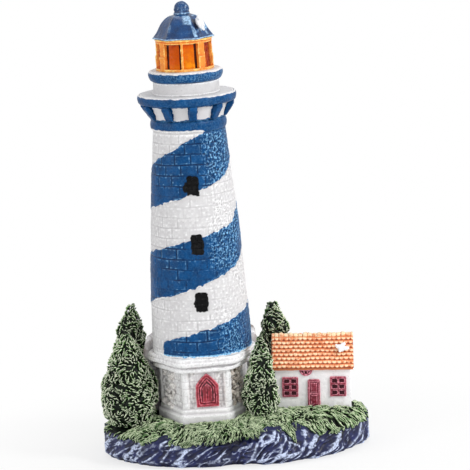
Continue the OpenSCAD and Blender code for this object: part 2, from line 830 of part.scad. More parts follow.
module gallery_floor() {
    color("white")
    ring_profile([
        [spigot_r + clearance, drum_z - floor_t], [deck_r - floor_rim - clearance, drum_z - floor_t],
        [deck_r - floor_rim - clearance, drum_z], [spigot_r + clearance, drum_z]
    ]);
}

module watch_room_drum() {
    spigot_z = drum_z - floor_t - drum_socket + clearance;
    socket_z = lantern_deck_z - spigot_l - clearance;
    color("white")
    ring_profile([
        [0, spigot_z], [spigot_r, spigot_z],
        [spigot_r, drum_z], [drum_r + 0.25, drum_z], [drum_r + 0.25, drum_z + 0.5], [drum_r, drum_z + 0.8],
        [drum_r, lantern_deck_z], [spigot_r + clearance, lantern_deck_z],
        [spigot_r + clearance, socket_z], [0, socket_z]
    ]);
}

module lantern_deck() {
    color("steelblue")
    ring_profile([
        [0, lantern_deck_z - spigot_l], [spigot_r, lantern_deck_z - spigot_l], [spigot_r, lantern_deck_z],
        [lantern_deck_r - 1.4, lantern_deck_z], [lantern_deck_r - 0.7, lantern_deck_z + 0.4],
        [lantern_deck_r - 0.15, lantern_deck_z + 1.3], [lantern_deck_r, lantern_deck_z + 2.2],
        [lantern_deck_r - 0.05, lantern_z - 0.5], [lantern_deck_r - 0.5, lantern_z],
        [core_r + clearance, lantern_z], [core_r + clearance, lantern_z - glazing_in],
        [0, lantern_z - glazing_in]
    ]);
}

module lantern_glazing() {
    color("orange")
    ring_profile([
        [0, lantern_z - glazing_in], [core_r, lantern_z - glazing_in], [core_r, dome_z], [0, dome_z]
    ]);
}

module lantern_frame() {
    in_r = lantern_r - frame_wall;
    into_ring = 0.1;
    post_h = lantern_h - lantern_foot_h - lantern_ring_h + 2 * into_ring;
    color("darkorange")
    translate([tower_x, 0, lantern_z])
    union() {
        difference() {
            union() {
                cylinder(h = lantern_foot_h, r = lantern_r, $fn = 96);
                translate([0, 0, lantern_h - lantern_ring_h])
                cylinder(h = lantern_ring_h, r = lantern_head_r, $fn = 96);
                translate([0, 0, lantern_foot_h - into_ring])
                intersection() {
                    cylinder(h = post_h, r1 = lantern_r - 0.2, r2 = lantern_head_r - 0.1, $fn = 96);
                    for (i = [0:post_n - 1])
                        let (w = i % 2 == 0 ? mullion_w : post_w)
                        rotate(i * 360 / post_n - 90 - 6)
                        translate([in_r - 1, -w / 2, 0])
                        cube([frame_wall + 3, w, lantern_h]);
                }
            }
            translate([0, 0, -1])
            cylinder(h = lantern_h + 2, r = in_r, $fn = 96);
        }
    }
}

// The dome is a six-sided bell that flares at its thin eaves, with a neck under the ball
function bell_r(t) =
    dome_r * (0.91 * pow(cos(90 * pow(t, 1.35)), 0.6) * (1 - 0.05 * t) + 0.09 * pow(1 - t, 8));
module dome() {
    color("royalblue")
    translate([tower_x, 0, dome_z])
    difference() {
        union() {
            skin(concat(
                [hex_ring(dome_r - 0.5, 0), hex_ring(dome_r, 0.15), hex_ring(dome_r, eaves_t)],
                [for (t = [0.08:0.12:0.92]) hex_ring(bell_r(t) - 0.35, eaves_t + (dome_h - eaves_t) * t)],
                [hex_ring(neck_r + 0.5, dome_h - 0.2)]
            ));
            translate([0, 0, dome_h - 1])
            cylinder(h = 1, r = neck_r, $fn = 48);
        }
        translate([0, 0, dome_h - pin_l - clearance])
        cylinder(h = 2 * pin_l, r = pin_r + clearance, $fn = 32);
        translate([gull_at[0], gull_at[1], gull_at[2] - dome_z - 0.8])
        cylinder(h = dome_h, r = gull_peg_r + clearance, $fn = 24);
    }
}
function hex_ring(r, z) =
    [for (a = [0:60:359]) let (b = hex_start + dome_turn + a) [r * cos(b), r * sin(b), z]];

module finial_ball() {
    ball_r = ball_d / 2;
    color("royalblue")
    translate([tower_x, 0, ball_z])
    difference() {
        union() {
            translate([0, 0, ball_r - ball_sink])
            sphere(r = ball_r, $fn = 64);
            translate([0, 0, -pin_l])
            cylinder(h = pin_l + ball_r / 2, r = pin_r, $fn = 32);
        }
        difference() {
            translate([0, 0, -ball_r])
            cylinder(h = ball_r, r = ball_r, $fn = 64);
            translate([0, 0, -2 * pin_l])
            cylinder(h = 3 * pin_l, r = pin_r, $fn = 32);
        }
    }
}

// A gull: body, breast, head, bill, tail and, where it flies, two wings
module gull(l, span) {
    scale([0.5, 1, 0.5])
    sphere(r = l * 0.3, $fn = 14);
    translate([0, -l * 0.2, l * 0.16])
    sphere(r = l * 0.13, $fn = 14);
    translate([0, -l * 0.36, l * 0.15])
    rotate([90, 0, 0])
    cylinder(h = l * 0.1, r1 = l * 0.05, r2 = l * 0.015, center = true, $fn = 8);
    hull() {
        translate([0, l * 0.12, 0])
        sphere(r = l * 0.08, $fn = 8);
        translate([0, l * 0.42, l * 0.06])
        scale([1.4, 1, 0.4])
        sphere(r = l * 0.06, $fn = 8);
    }
    for (side = [-1, 1])
        hull() {
            translate([side * l * 0.1, -l * 0.05, l * 0.06])
            scale([0.5, 1.5, 0.6])
            sphere(r = l * 0.09, $fn = 8);
            translate([side * span / 2, l * 0.1, l * 0.18])
            scale([0.6, 1.2, 0.4])
            sphere(r = l * 0.06, $fn = 8);
        }
}

module dome_gull() {
    color("white")
    translate([tower_x, 0, 0])
    translate([gull_at[0], gull_at[1], 0])
    union() {
        translate([0, 0, gull_at[2] + dome_gull_l * 0.42])
        rotate([-24, 0, 60])
        gull(dome_gull_l, dome_gull_l * 0.36);
        translate([0, 0, gull_at[2] - 0.6])
        cylinder(h = dome_gull_l * 0.42, r = gull_peg_r, $fn = 24);
    }
}

// The cottage stands a little aslant, as it was set in the turf
module cottage_pose() {
    translate([cottage_x, cottage_y, cottage_z])
    rotate([0, cottage_lean, cottage_turn])
    children();
}

module on_cottage_wall(out) {
    cottage_pose()
    translate([0, -cottage_d / 2 - out, 0])
    rotate([90, 0, 0])
    children();
}

module win_places() {
    for (x = [-win_left, win_right])
        translate([x, win_sill_z])
        children();
}

// Two panes side by side and three high in each window
module pane_places() {
    for (i = [0:1], j = [0:2])
        translate([clearance, clearance])
        translate([win_bar + i * (pane_w + win_bar), win_bar + j * (pane_h + win_bar)])
        children();
}

module door_outline(w, h) {
    translate([-w / 2, 0])
    square([w, h - w * 0.3]);
    translate([0, h - w * 0.3])
    scale([1, 0.6])
    circle(r = w / 2, $fn = 12);
}

module half_disc(r) {
    polygon([for (a = [180:15:360]) r * [cos(a), sin(a)]]);
}

module cottage_walls() {
    color("snow")
    difference() {
        cottage_pose()
        rotate([90, 0, 90])
        translate([0, 0, -cottage_l / 2])
        linear_extrude(cottage_l)
        polygon([
            [-cottage_d / 2, -cottage_sink], [cottage_d / 2, -cottage_sink],
            [cottage_d / 2, cottage_wall_h], [0, ridge_z], [-cottage_d / 2, cottage_wall_h]
        ]);
        on_cottage_wall(-win_in)
        linear_extrude(win_in + 3)
        union() {
            win_places()
            square([win_w, win_h]);
            translate([door_x - door_w / 2, door_sill])
            square([door_w, door_h]);
            translate([vent_x, vent_z])
            half_disc(vent_r + clearance);
        }
    }
}

module cottage_window_frames() {
    color("mediumvioletred")
    on_cottage_wall(-win_in + sliver)
    linear_extrude(win_in + win_out)
    win_places()
    difference() {
        translate([clearance, clearance])
        square([win_w - 2 * clearance, win_h - 2 * clearance]);
        pane_places()
        square([pane_w, pane_h]);
    }
}

module cottage_window_panes() {
    fit = 0.03;
    color("maroon")
    on_cottage_wall(-win_in + sliver)
    linear_extrude(win_in * 0.6)
    win_places()
    pane_places()
    translate([fit, fit])
    square([pane_w - 2 * fit, pane_h - 2 * fit]);
}

module cottage_door_frame() {
    color("mediumvioletred")
    on_cottage_wall(-win_in + sliver)
    translate([door_x, door_sill])
    linear_extrude(win_in + win_out)
    difference() {
        translate([-door_w / 2 + clearance, 0])
        square([door_w - 2 * clearance, door_h - clearance]);
        translate([0, -1])
        door_outline(door_w - 2 * door_rim - 2 * clearance, door_h - door_rim - clearance + 1);
    }
}

module cottage_door() {
    leaf_w = door_w - 2 * door_rim - 3 * clearance;
    leaf_h = door_h - door_rim - 2 * clearance;
    leaf_t = win_in + win_out * 0.4;
    panel_w = leaf_w * 0.34;
    panel_in = 0.2;
    color("crimson")
    on_cottage_wall(-win_in + sliver)
    translate([door_x, door_sill])
    difference() {
        linear_extrude(leaf_t)
        door_outline(leaf_w, leaf_h);
        for (side = [-1, 1], half = [0, 1])
            translate([side * leaf_w * 0.24 - panel_w / 2, leaf_h * (0.1 + half * 0.42), leaf_t - panel_in])
            cube([panel_w, leaf_h * 0.34, 1]);
    }
}

module cottage_vent() {
    slot_w = 0.28;
    color("maroon")
    on_cottage_wall(-win_in + sliver)
    translate([vent_x, vent_z])
    difference() {
        linear_extrude(win_in + win_out)
        half_disc(vent_r);
        for (a = [-150:30:-30])
            rotate(a)
            translate([vent_r * 0.34, -slot_w / 2, win_in + win_out - 0.25])
            cube([vent_r * 0.5, slot_w, 1]);
    }
}

// Frame of the roof slopes: X along the ridge, Y down the slope from the ridge, Z out of the slope
module on_slope(side) {
    cottage_pose()
    translate([0, 0, ridge_z])
    rotate([0, 0, side < 0 ? 0 : 180])
    rotate([roof_pitch, 0, 0])
    mirror([0, 1, 0])
    children();
}

module cottage_roof() {
    up = roof_t / cos(roof_pitch);
    drop = eaves_out * tan(roof_pitch);
    color("chocolate")
    cottage_pose()
    rotate([90, 0, 90])
    translate([0, 0, -cottage_l / 2 - verge_out])
    linear_extrude(cottage_l + 2 * verge_out)
    polygon([
        [-roof_run, cottage_wall_h - drop + roof_lift], [0, ridge_z + roof_lift],
        [roof_run, cottage_wall_h - drop + roof_lift],
        [roof_run, cottage_wall_h - drop + up + roof_lift], [0, ridge_z + up + roof_lift],
        [-roof_run, cottage_wall_h - drop + up + roof_lift]
    ]);
}

// One course of tiles, h down the slope, thickest at its scalloped lower edge. Shift is in tiles.
module tile_course(l, h, shift) {
    w = l / tile_n;
    round_h = w * 0.42;
    difference() {
        linear_extrude(2 * tile_t)
        intersection() {
            translate([-l / 2, 0])
            square([l, 2 * h]);
            translate([(shift - 1) * w - l / 2, 0])
            polygon(concat(
                [for (i = [0:tile_n + 1], a = [0:45:179])
                    [(i + 0.5) * w - w / 2 * cos(a), h - round_h + round_h * sin(a)]],
                [[(tile_n + 2) * w, h - round_h], [(tile_n + 2) * w, 0], [0, 0]]
            ));
        }
        translate([0, 0, tile_t * tile_head])
        rotate([asin(tile_t * 0.9 / h), 0, 0])
        translate([-l, -h, 0])
        cube([2 * l, 4 * h, 4 * tile_t]);
    }
}

module roof_tiles(side) {
    l = cottage_l + 2 * verge_out + 2 * tile_over;
    step = (slope_l + tile_over - tile_start) / (course_n - 1 + tile_lap);
    on_slope(side)
    difference() {
        translate([0, tile_start, roof_t + roof_lift * 2])
        for (i = [0:course_n - 1])
            translate([0, i * step, 0])
            tile_course(l, step * tile_lap, (i % 2) / 2);
        if (side < 0)
            translate([roof_gull_x, slope_l * 0.44, 0])
            cylinder(h = roof_t + 4 * tile_t, r = gull_peg_r + clearance, $fn = 24);
    }
}

module roof_tiles_front() {
    color("coral")
    roof_tiles(-1);
}

module roof_tiles_back() {
    color("coral")
    roof_tiles(1);
}

// Half-round ridge tiles that lie astride the roof boards
module ridge_tiles() {
    l = cottage_l + 2 * verge_out + 2 * tile_over;
    n = round(l / ridge_tile_l);
    seat_z = ridge_z + (roof_t + roof_lift * 2) / cos(roof_pitch);
    color("coral")
    cottage_pose()
    rotate([90, 0, 90])
    union() {
        for (i = [0:n - 1])
            translate([0, seat_z, i * l / n - l / 2])
            linear_extrude(l / n + (i < n - 1 ? 0.2 : 0))
            difference() {
                translate([0, -ridge_sink])
                circle(r = ridge_d / 2 - (i % 2) * 0.14, $fn = 32);
                scale([ridge_d, ridge_d * tan(roof_pitch)])
                polygon([[0, 0], [1, -1], [-1, -1]]);
            }
    }
}

module roof_gull() {
    color("white")
    on_slope(-1)
    translate([roof_gull_x, slope_l * 0.44, roof_t + roof_lift * 2])
    union() {
        translate([0, 0, tile_t * 2 + roof_gull_l * 0.2])
        rotate([0, 0, 160])
        gull(roof_gull_l, roof_gull_span);
        cylinder(h = tile_t * 2 + roof_gull_l * 0.2, r = gull_peg_r, $fn = 24);
    }
}

// Height of the ground at a place
function ground(x, y) =
    let (a = atan2(y, x), u = norm([x + rim_mid_x, y + rim_mid_y]) / rim(a, turf_inset, 0))
    turf_rise(a, min(u, 1));

// Outline of a conifer from its foot to its tip
function foliage(t) =
    t < 0.3 ? 0.74 + 0.26 * sin(t * 300) : pow(max(1 - (t - 0.3) / 0.72, 0), 0.82);
// Sprays in tiers of three rings, under, lip and top, staggered from tier to tier
function spray(a, k, s) =
    spray_d * [-1, 1, 0.1][k % 3] * (0.6 + 0.4 * cos(spray_n * a + 180 * floor(k / 3) + s));

module tree(i) {
    r = radii[i];
    foot = trees[i][2];
    h = tips[i] - foot;
    color("darkgreen")
    union() {
        translate([trees[i][0], trees[i][1], 0])
        skin([
            for (k = [0:spray_rings])
            let (t = k / spray_rings)
            [for (a = [0:spray_step:359])
                let (q = r / (1 + spray_d) * foliage(t) * (1 + spray(a, k, i * 77)))
                [q * cos(a) + leans[i] * t * t, q * sin(a), foot + h * t]]
        ]);
        translate([trees[i][0], trees[i][1], rock_h + peg_gap])
        cylinder(h = foot - rock_h - peg_gap + peg_in, r = peg_r, $fn = 32);
    }
}

module tree_front_left() {
    tree(0);
}

module tree_back_left() {
    tree(1);
}

module tree_front_right() {
    tree(2);
}

module tree_back_right() {
    tree(3);
}

felt_pad();
rock_base();
turf();
plinth();
plinth_cornice();
plinth_stones();
rear_rockwork();
tower_door_frame();
tower_door();
tower_shaft();
spiral_band();
tower_windows();
belt_ring();
gallery_cove();
gallery_brackets();
gallery_deck();
gallery_floor();
watch_room_drum();
lantern_deck();
lantern_glazing();
lantern_frame();
dome();
finial_ball();
dome_gull();
cottage_walls();
cottage_roof();
roof_tiles_front();
roof_tiles_back();
ridge_tiles();
cottage_window_frames();
cottage_window_panes();
cottage_door_frame();
cottage_door();
cottage_vent();
roof_gull();
tree_front_left();
tree_back_left();
tree_front_right();
tree_back_right();
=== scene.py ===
# Lighthouse figurine, hand painted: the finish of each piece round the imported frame, in metres.
import math

import bmesh
import bpy
import numpy as np
from mathutils import Matrix, Vector


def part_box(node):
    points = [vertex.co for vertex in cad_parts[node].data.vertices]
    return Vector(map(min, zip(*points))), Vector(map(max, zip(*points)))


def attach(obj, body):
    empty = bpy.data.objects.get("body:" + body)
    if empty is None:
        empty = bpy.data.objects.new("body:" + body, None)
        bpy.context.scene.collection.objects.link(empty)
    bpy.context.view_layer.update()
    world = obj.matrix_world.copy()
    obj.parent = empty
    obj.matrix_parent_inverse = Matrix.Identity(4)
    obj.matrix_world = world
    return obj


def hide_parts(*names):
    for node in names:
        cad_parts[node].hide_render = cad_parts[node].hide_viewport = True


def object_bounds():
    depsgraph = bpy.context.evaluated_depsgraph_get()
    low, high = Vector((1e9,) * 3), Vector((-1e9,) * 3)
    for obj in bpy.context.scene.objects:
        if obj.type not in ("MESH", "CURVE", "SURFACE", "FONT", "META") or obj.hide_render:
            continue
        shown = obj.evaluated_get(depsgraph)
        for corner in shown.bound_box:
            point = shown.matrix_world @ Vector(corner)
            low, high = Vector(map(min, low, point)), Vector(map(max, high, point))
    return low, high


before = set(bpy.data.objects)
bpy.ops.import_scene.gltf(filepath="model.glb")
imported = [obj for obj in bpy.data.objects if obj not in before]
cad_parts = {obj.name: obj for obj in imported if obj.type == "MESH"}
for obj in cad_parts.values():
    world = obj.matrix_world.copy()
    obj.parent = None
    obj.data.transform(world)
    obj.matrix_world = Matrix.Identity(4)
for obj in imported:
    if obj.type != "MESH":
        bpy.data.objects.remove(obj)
frame_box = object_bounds()
MM = 0.001

# Studio: a plain pale floor, a soft key from the right, a broad fill from the left, weaker lamps in
# front and above, and a pale sky. The camera looks down from above the dome, and is a little rolled.
FLOOR_HALF = 3.0
SHADOW_NEAR, SHADOW_FAR, SHADOW_WHITE = 0.05, 0.11, 0.72
floor_mesh = bpy.data.meshes.new("floor")
floor_corners = [(x * FLOOR_HALF, y * FLOOR_HALF, 0) for x, y in ((-1, -1), (1, -1), (1, 1), (-1, 1))]
floor_mesh.from_pydata(floor_corners, [], [(0, 1, 2, 3)])
floor = bpy.data.objects.new("floor", floor_mesh)
bpy.context.collection.objects.link(floor)

# The floor is plain white to the camera, but for a faint contact shadow round the figurine
floor_paint = bpy.data.materials.new("pale_floor")
floor_paint.use_nodes = True
floor_nodes, floor_links = floor_paint.node_tree.nodes, floor_paint.node_tree.links
floor_shader = floor_nodes["Principled BSDF"]
floor_shader.inputs["Base Color"].default_value = (0.95, 0.95, 0.95, 1)
floor_shader.inputs["Roughness"].default_value = 0.9
floor_shader.inputs["Specular IOR Level"].default_value = 0.1
floor_glow = floor_nodes.new("ShaderNodeEmission")
floor_glow.inputs["Color"].default_value = (1, 1, 1, 1)
floor_place = floor_nodes.new("ShaderNodeTexCoord")
floor_reach = floor_nodes.new("ShaderNodeVectorMath")
floor_reach.operation = "LENGTH"
floor_links.new(floor_place.outputs["Object"], floor_reach.inputs[0])
floor_white = floor_nodes.new("ShaderNodeMapRange")
floor_white.inputs["From Min"].default_value = SHADOW_NEAR
floor_white.inputs["From Max"].default_value = SHADOW_FAR
floor_white.inputs["To Min"].default_value = SHADOW_WHITE
floor_links.new(floor_reach.outputs["Value"], floor_white.inputs["Value"])
floor_rays = floor_nodes.new("ShaderNodeLightPath")
floor_share = floor_nodes.new("ShaderNodeMath")
floor_share.operation = "MULTIPLY"
floor_links.new(floor_white.outputs["Result"], floor_share.inputs[0])
floor_links.new(floor_rays.outputs["Is Camera Ray"], floor_share.inputs[1])
floor_mix = floor_nodes.new("ShaderNodeMixShader")
floor_links.new(floor_share.outputs[0], floor_mix.inputs[0])
floor_links.new(floor_shader.outputs[0], floor_mix.inputs[1])
floor_links.new(floor_glow.outputs[0], floor_mix.inputs[2])
floor_links.new(floor_mix.outputs[0], floor_nodes["Material Output"].inputs["Surface"])
floor_mesh.materials.append(floor_paint)

world = bpy.data.worlds.new("studio")
bpy.context.scene.world = world
world.use_nodes = True
world_nodes = world.node_tree.nodes
world_links = world.node_tree.links
sky = world_nodes["Background"]
sky.inputs["Color"].default_value = (1, 1, 1, 1)
sky.inputs["Strength"].default_value = 0.46
backdrop = world_nodes.new("ShaderNodeBackground")
backdrop.inputs["Color"].default_value = (1, 1, 1, 1)
backdrop.inputs["Strength"].default_value = 1.0
path = world_nodes.new("ShaderNodeLightPath")
seen = path.outputs["Is Camera Ray"]
for ray in ("Is Glossy Ray", "Is Transmission Ray"):
    either = world_nodes.new("ShaderNodeMath")
    either.operation = "MAXIMUM"
    world_links.new(seen, either.inputs[0])
    world_links.new(path.outputs[ray], either.inputs[1])
    seen = either.outputs[0]
sky_or_backdrop = world_nodes.new("ShaderNodeMixShader")
world_links.new(seen, sky_or_backdrop.inputs[0])
world_links.new(sky.outputs[0], sky_or_backdrop.inputs[1])
world_links.new(backdrop.outputs[0], sky_or_backdrop.inputs[2])
world_links.new(sky_or_backdrop.outputs[0], world_nodes["World Output"].inputs["Surface"])

LIT_POINT = Vector((0, 0, 0.075))


def lamp(name, place, size, power):
    """A square soft lamp that shines on the middle of the figurine."""
    data = bpy.data.lights.new(name, "AREA")
    data.size = size
    data.energy = power
    holder = bpy.data.objects.new(name, data)
    bpy.context.collection.objects.link(holder)
    holder.location = place
    holder.rotation_euler = (Vector(place) - LIT_POINT).to_track_quat("Z", "Y").to_euler()


lamp("key_right", (0.70, -0.40, 0.50), 0.22, 4.2)
lamp("fill_left", (-0.88, -0.45, 0.35), 0.50, 2.6)
lamp("front", (0.12, -0.95, 0.36), 0.50, 1.15)
lamp("top", (0.10, 0.10, 0.95), 0.40, 1.6)

# The camera was fitted to the rings of the tower: pixels, then degrees, then metres
PICTURE_W = 470
LENS_IN_PIXELS = 2396.5
LOOKS_DOWN = 11.068
ROLL = -3.308
CAMERA_PLACE = (0.00328, -0.800, 0.231)
camera_data = bpy.data.cameras.new("camera")
camera_data.sensor_width = 36
camera_data.lens = LENS_IN_PIXELS / PICTURE_W * camera_data.sensor_width
camera_data.clip_end = 20
camera = bpy.data.objects.new("camera", camera_data)
bpy.context.collection.objects.link(camera)
camera_tilt = Matrix.Rotation(math.radians(90 - LOOKS_DOWN), 4, "X")
camera_roll = Matrix.Rotation(math.radians(ROLL), 4, "Z")
camera.matrix_world = Matrix.Translation(CAMERA_PLACE) @ camera_tilt @ camera_roll
bpy.context.scene.camera = camera
bpy.context.scene.view_settings.view_transform = "Standard"

# Rock base: a crag of cast resin under the turf, painted indigo and dry-brushed with pale blue so
# that the crests of the rock stand out. Its flat top carries the turf and it rests on its felt.
rng = np.random.default_rng(7)


def grain(points, size, seed=0):
    """Smooth lumps from 0 to 1 at each point, one lump about as wide as size."""
    scaled = np.asarray(points) / size + 31.7 * (seed + 1)
    cell = np.floor(scaled).astype(np.int64)
    part = scaled - cell
    part = part * part * (3 - 2 * part)
    # Each corner of a cell gets its own height, scattered by large odd numbers
    total = 0
    for corner in range(8):
        step = np.array([corner & 1, corner >> 1 & 1, corner >> 2 & 1])
        x, y, z = np.moveaxis(cell + step, -1, 0)
        key = (x * 374761393 + y * 668265263 + z * 1442695041 + seed * 974711) & 0xFFFFFFFF
        key = ((key ^ (key >> 13)) * 1274126177) & 0xFFFFFFFF
        value = ((key ^ (key >> 16)) & 0xFFFF) / 65535
        total = total + value * np.prod(np.where(step == 1, part, 1 - part), axis=-1)
    return total


def fade(low, high, value):
    """0 below low, 1 above high, and a smooth ramp between them."""
    t = np.clip((value - low) / (high - low), 0, 1)
    return t * t * (3 - 2 * t)


def crest(points, size, seed):
    """Sharp crests between smooth hollows, from 0 to 1."""
    return 1 - np.abs(2 * grain(points, size, seed) - 1)


def points_at(x, y, z):
    """Points from their three parts, any of which may be a grid, a row, a column or one number."""
    return np.stack(np.broadcast_arrays(x, y, z), -1)


def new_piece(name, verts, faces):
    """A mesh object from points and faces, standing in the frame as it is."""
    mesh = bpy.data.meshes.new(name)
    mesh.from_pydata([tuple(v) for v in verts], [], [tuple(f) for f in faces])
    mesh.polygons.foreach_set("use_smooth", [True] * len(mesh.polygons))
    mesh.update()
    piece = bpy.data.objects.new(name, mesh)
    bpy.context.collection.objects.link(piece)
    return piece


def wall_faces(rows, cols, closed):
    """The quads of a grid of rows and columns; closed joins the last column to the first."""
    row, col = np.meshgrid(np.arange(rows - 1), np.arange(cols if closed else cols - 1), indexing="ij")
    here = row * cols + col
    right = row * cols + (col + 1) % cols
    return np.stack([here, right, right + cols, here + cols], -1).reshape(-1, 4)


def capped_faces(rows, cols):
    """The faces of a closed wall with a cap at each end."""
    caps = [list(range(cols))[::-1], [(rows - 1) * cols + i for i in range(cols)]]
    return wall_faces(rows, cols, True).tolist() + caps


def vertices_of(piece):
    """The points of a piece as an array."""
    flat = np.empty(len(piece.data.vertices) * 3)
    piece.data.vertices.foreach_get("co", flat)
    return flat.reshape(-1, 3)


def normals_of(piece):
    """The vertex normals of a piece as an array."""
    flat = np.empty(len(piece.data.vertices) * 3)
    piece.data.vertices.foreach_get("normal", flat)
    return flat.reshape(-1, 3)


def move_to(piece, points):
    """Puts the points of a piece at new places."""
    piece.data.vertices.foreach_set("co", np.ascontiguousarray(points).ravel())
    piece.data.update()


def store(piece, name, values):
    """Keeps one number for each point, for the paint to use."""
    layer = piece.data.attributes.get(name) or piece.data.attributes.new(name, "FLOAT", "POINT")
    layer.data.foreach_set("value", np.ascontiguousarray(values, dtype=np.float32))


def stored(piece, name):
    """The numbers that a piece keeps under a name."""
    values = np.empty(len(piece.data.vertices))
    piece.data.attributes[name].data.foreach_get("value", values)
    return values


def feel_edges(piece, reach, strength):
    """Stores relief: over 0.5 on crests, where a dry brush leaves paint, and under it in hollows."""
    points = vertices_of(piece)
    edges = np.empty(len(piece.data.edges) * 2, dtype=np.int64)
    piece.data.edges.foreach_get("vertices", edges)
    one, other = edges.reshape(-1, 2).T
    count = np.bincount(one, minlength=len(points)) + np.bincount(other, minlength=len(points))
    soft = points
    for _ in range(reach):
        total = [np.bincount(one, part[other], len(points)) + np.bincount(other, part[one], len(points))
                 for part in soft.T]
        soft = np.stack(total, -1) / np.maximum(count, 1)[:, None]
    length = np.linalg.norm(points[one] - points[other], axis=1).mean()
    bend = np.einsum("ij,ij->i", points - soft, normals_of(piece)) / length
    store(piece, "relief", np.clip(0.5 + strength * bend, 0, 1))


def colour(red, green, blue):
    """A paint colour from its 0 to 255 values."""
    parts = [c / 255 for c in (red, green, blue)]
    return tuple(c / 12.92 if c < 0.04045 else ((c + 0.055) / 1.055) ** 2.4 for c in parts) + (1,)


def new_paint(name, gloss, tooth=0.15, tooth_size=0.5, spec=0.4):
    """A material with the fine tooth of brushed paint. The coats are added to it afterwards."""
    paint = bpy.data.materials.new(name)
    paint.use_nodes = True
    nodes, links = paint.node_tree.nodes, paint.node_tree.links
    shader = nodes["Principled BSDF"]
    shader.inputs["Specular IOR Level"].default_value = spec
    place = nodes.new("ShaderNodeTexCoord")
    lumps = nodes.new("ShaderNodeTexNoise")
    lumps.inputs["Scale"].default_value = 1 / (tooth_size * MM)
    lumps.inputs["Detail"].default_value = 4
    links.new(place.outputs["Object"], lumps.inputs["Vector"])
    bump = nodes.new("ShaderNodeBump")
    bump.inputs["Strength"].default_value = tooth
    bump.inputs["Distance"].default_value = 0.15 * MM
    links.new(lumps.outputs["Fac"], bump.inputs["Height"])
    links.new(bump.outputs["Normal"], shader.inputs["Normal"])
    sheen = nodes.new("ShaderNodeMapRange")
    sheen.inputs["From Min"].default_value = 0.3
    sheen.inputs["From Max"].default_value = 0.7
    sheen.inputs["To Min"].default_value = gloss - 0.08
    sheen.inputs["To Max"].default_value = gloss + 0.10
    links.new(lumps.outputs["Fac"], sheen.inputs["Value"])
    links.new(sheen.outputs["Result"], shader.inputs["Roughness"])
    return paint


def attribute(paint, name):
    """The number that a mesh stores under a name."""
    node = paint.node_tree.nodes.new("ShaderNodeAttribute")
    node.attribute_name = name
    return node.outputs["Fac"]


def speck(paint, size, stretch=(1, 1, 1), detail=3):
    """Noise of a size in millimetres, which may be stretched as brush marks are."""
    nodes, links = paint.node_tree.nodes, paint.node_tree.links
    place = nodes.new("ShaderNodeTexCoord")
    mapping = nodes.new("ShaderNodeMapping")
    mapping.inputs["Scale"].default_value = [1 / (size * MM * s) for s in stretch]
    links.new(place.outputs["Object"], mapping.inputs["Vector"])
    noise = nodes.new("ShaderNodeTexNoise")
    noise.inputs["Scale"].default_value = 1
    noise.inputs["Detail"].default_value = detail
    links.new(mapping.outputs["Vector"], noise.inputs["Vector"])
    return noise.outputs["Fac"]


def ramp(paint, value, low, high, top=1.0):
    """0 at low, top at high, and straight between them."""
    node = paint.node_tree.nodes.new("ShaderNodeMapRange")
    node.inputs["From Min"].default_value = low
    node.inputs["From Max"].default_value = high
    node.inputs["To Max"].default_value = top
    paint.node_tree.links.new(value, node.inputs["Value"])
    return node.outputs["Result"]


def times(paint, one, other, how="MULTIPLY"):
    """Two values joined by a sum or product; either may be a plain number."""
    node = paint.node_tree.nodes.new("ShaderNodeMath")
    node.operation = how
    for socket, value in zip(node.inputs, (one, other)):
        if isinstance(value, (int, float)):
            socket.default_value = value
        else:
            paint.node_tree.links.new(value, socket)
    return node.outputs[0]


def over(paint, share, under, top):
    """A colour laid over another, as far as share says."""
    node = paint.node_tree.nodes.new("ShaderNodeMix")
    node.data_type = "RGBA"
    paint.node_tree.links.new(share, node.inputs["Factor"])
    for socket, value in ((node.inputs["A"], under), (node.inputs["B"], top)):
        if isinstance(value, tuple):
            socket.default_value = value
        else:
            paint.node_tree.links.new(value, socket)
    return node.outputs["Result"]


def coat(paint, body, shade, brushed, pit, edge, brush_size, patch):
    """Body paint, a darker wash in the hollows and a paler dry brush on the crests."""
    relief = attribute(paint, "relief")
    mottled = over(paint, ramp(paint, speck(paint, 3.0), 0.35, 0.65, patch), body, shade)
    washed = over(paint, ramp(paint, relief, *pit), mottled, shade)
    strokes = ramp(paint, speck(paint, brush_size), 0.38, 0.62)
    share = times(paint, ramp(paint, relief, *edge), times(paint, strokes, 0.35, "ADD"))
    return over(paint, share, washed, brushed)


def finish_paint(piece, paint, top_colour, slot, *nodes):
    """Lays the coats on a piece, which rides on the figurine and stands for its frame nodes."""
    shader = paint.node_tree.nodes["Principled BSDF"]
    paint.node_tree.links.new(top_colour, shader.inputs["Base Color"])
    piece.data.materials.clear()
    piece.data.materials.append(paint)
    dress(piece, slot, *nodes)


def dress(piece, slot, *nodes):
    """Lets a piece ride on the figurine and hides the frame nodes that it stands for. The slot is not used.
    """
    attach(piece, "root")
    if nodes:
        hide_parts(*nodes)


base_low, base_high = (np.array(corner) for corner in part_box("rock_base"))
ROCK_FOOT = base_low[2]
ROCK_TOP = base_high[2]
BASE_HALF_W = 45.3 * MM
BASE_HALF_D = 25.4 * MM


def oval(a):
    """Reach of the base from its middle, towards an angle."""
    reach = 1 / np.sqrt((np.cos(a) / BASE_HALF_W) ** 2 + (np.sin(a) / BASE_HALF_D) ** 2)
    deg = np.degrees(a)
    swell = 0.012 * np.cos(a) + 0.012 * np.sin(np.radians(5 * deg + 20))
    swell = swell + 0.01 * np.sin(np.radians(9 * deg - 50))
    return reach * (1 + swell)


# The frame's middle is that of the rock's box, which lies a little beside the middle of the oval
full_turn = np.linspace(0, 2 * np.pi, 720)
rim_line = points_at(oval(full_turn) * np.cos(full_turn), oval(full_turn) * np.sin(full_turn), 0)
MID_SHIFT = (rim_line.max(0)[:2] + rim_line.min(0)[:2]) / 2

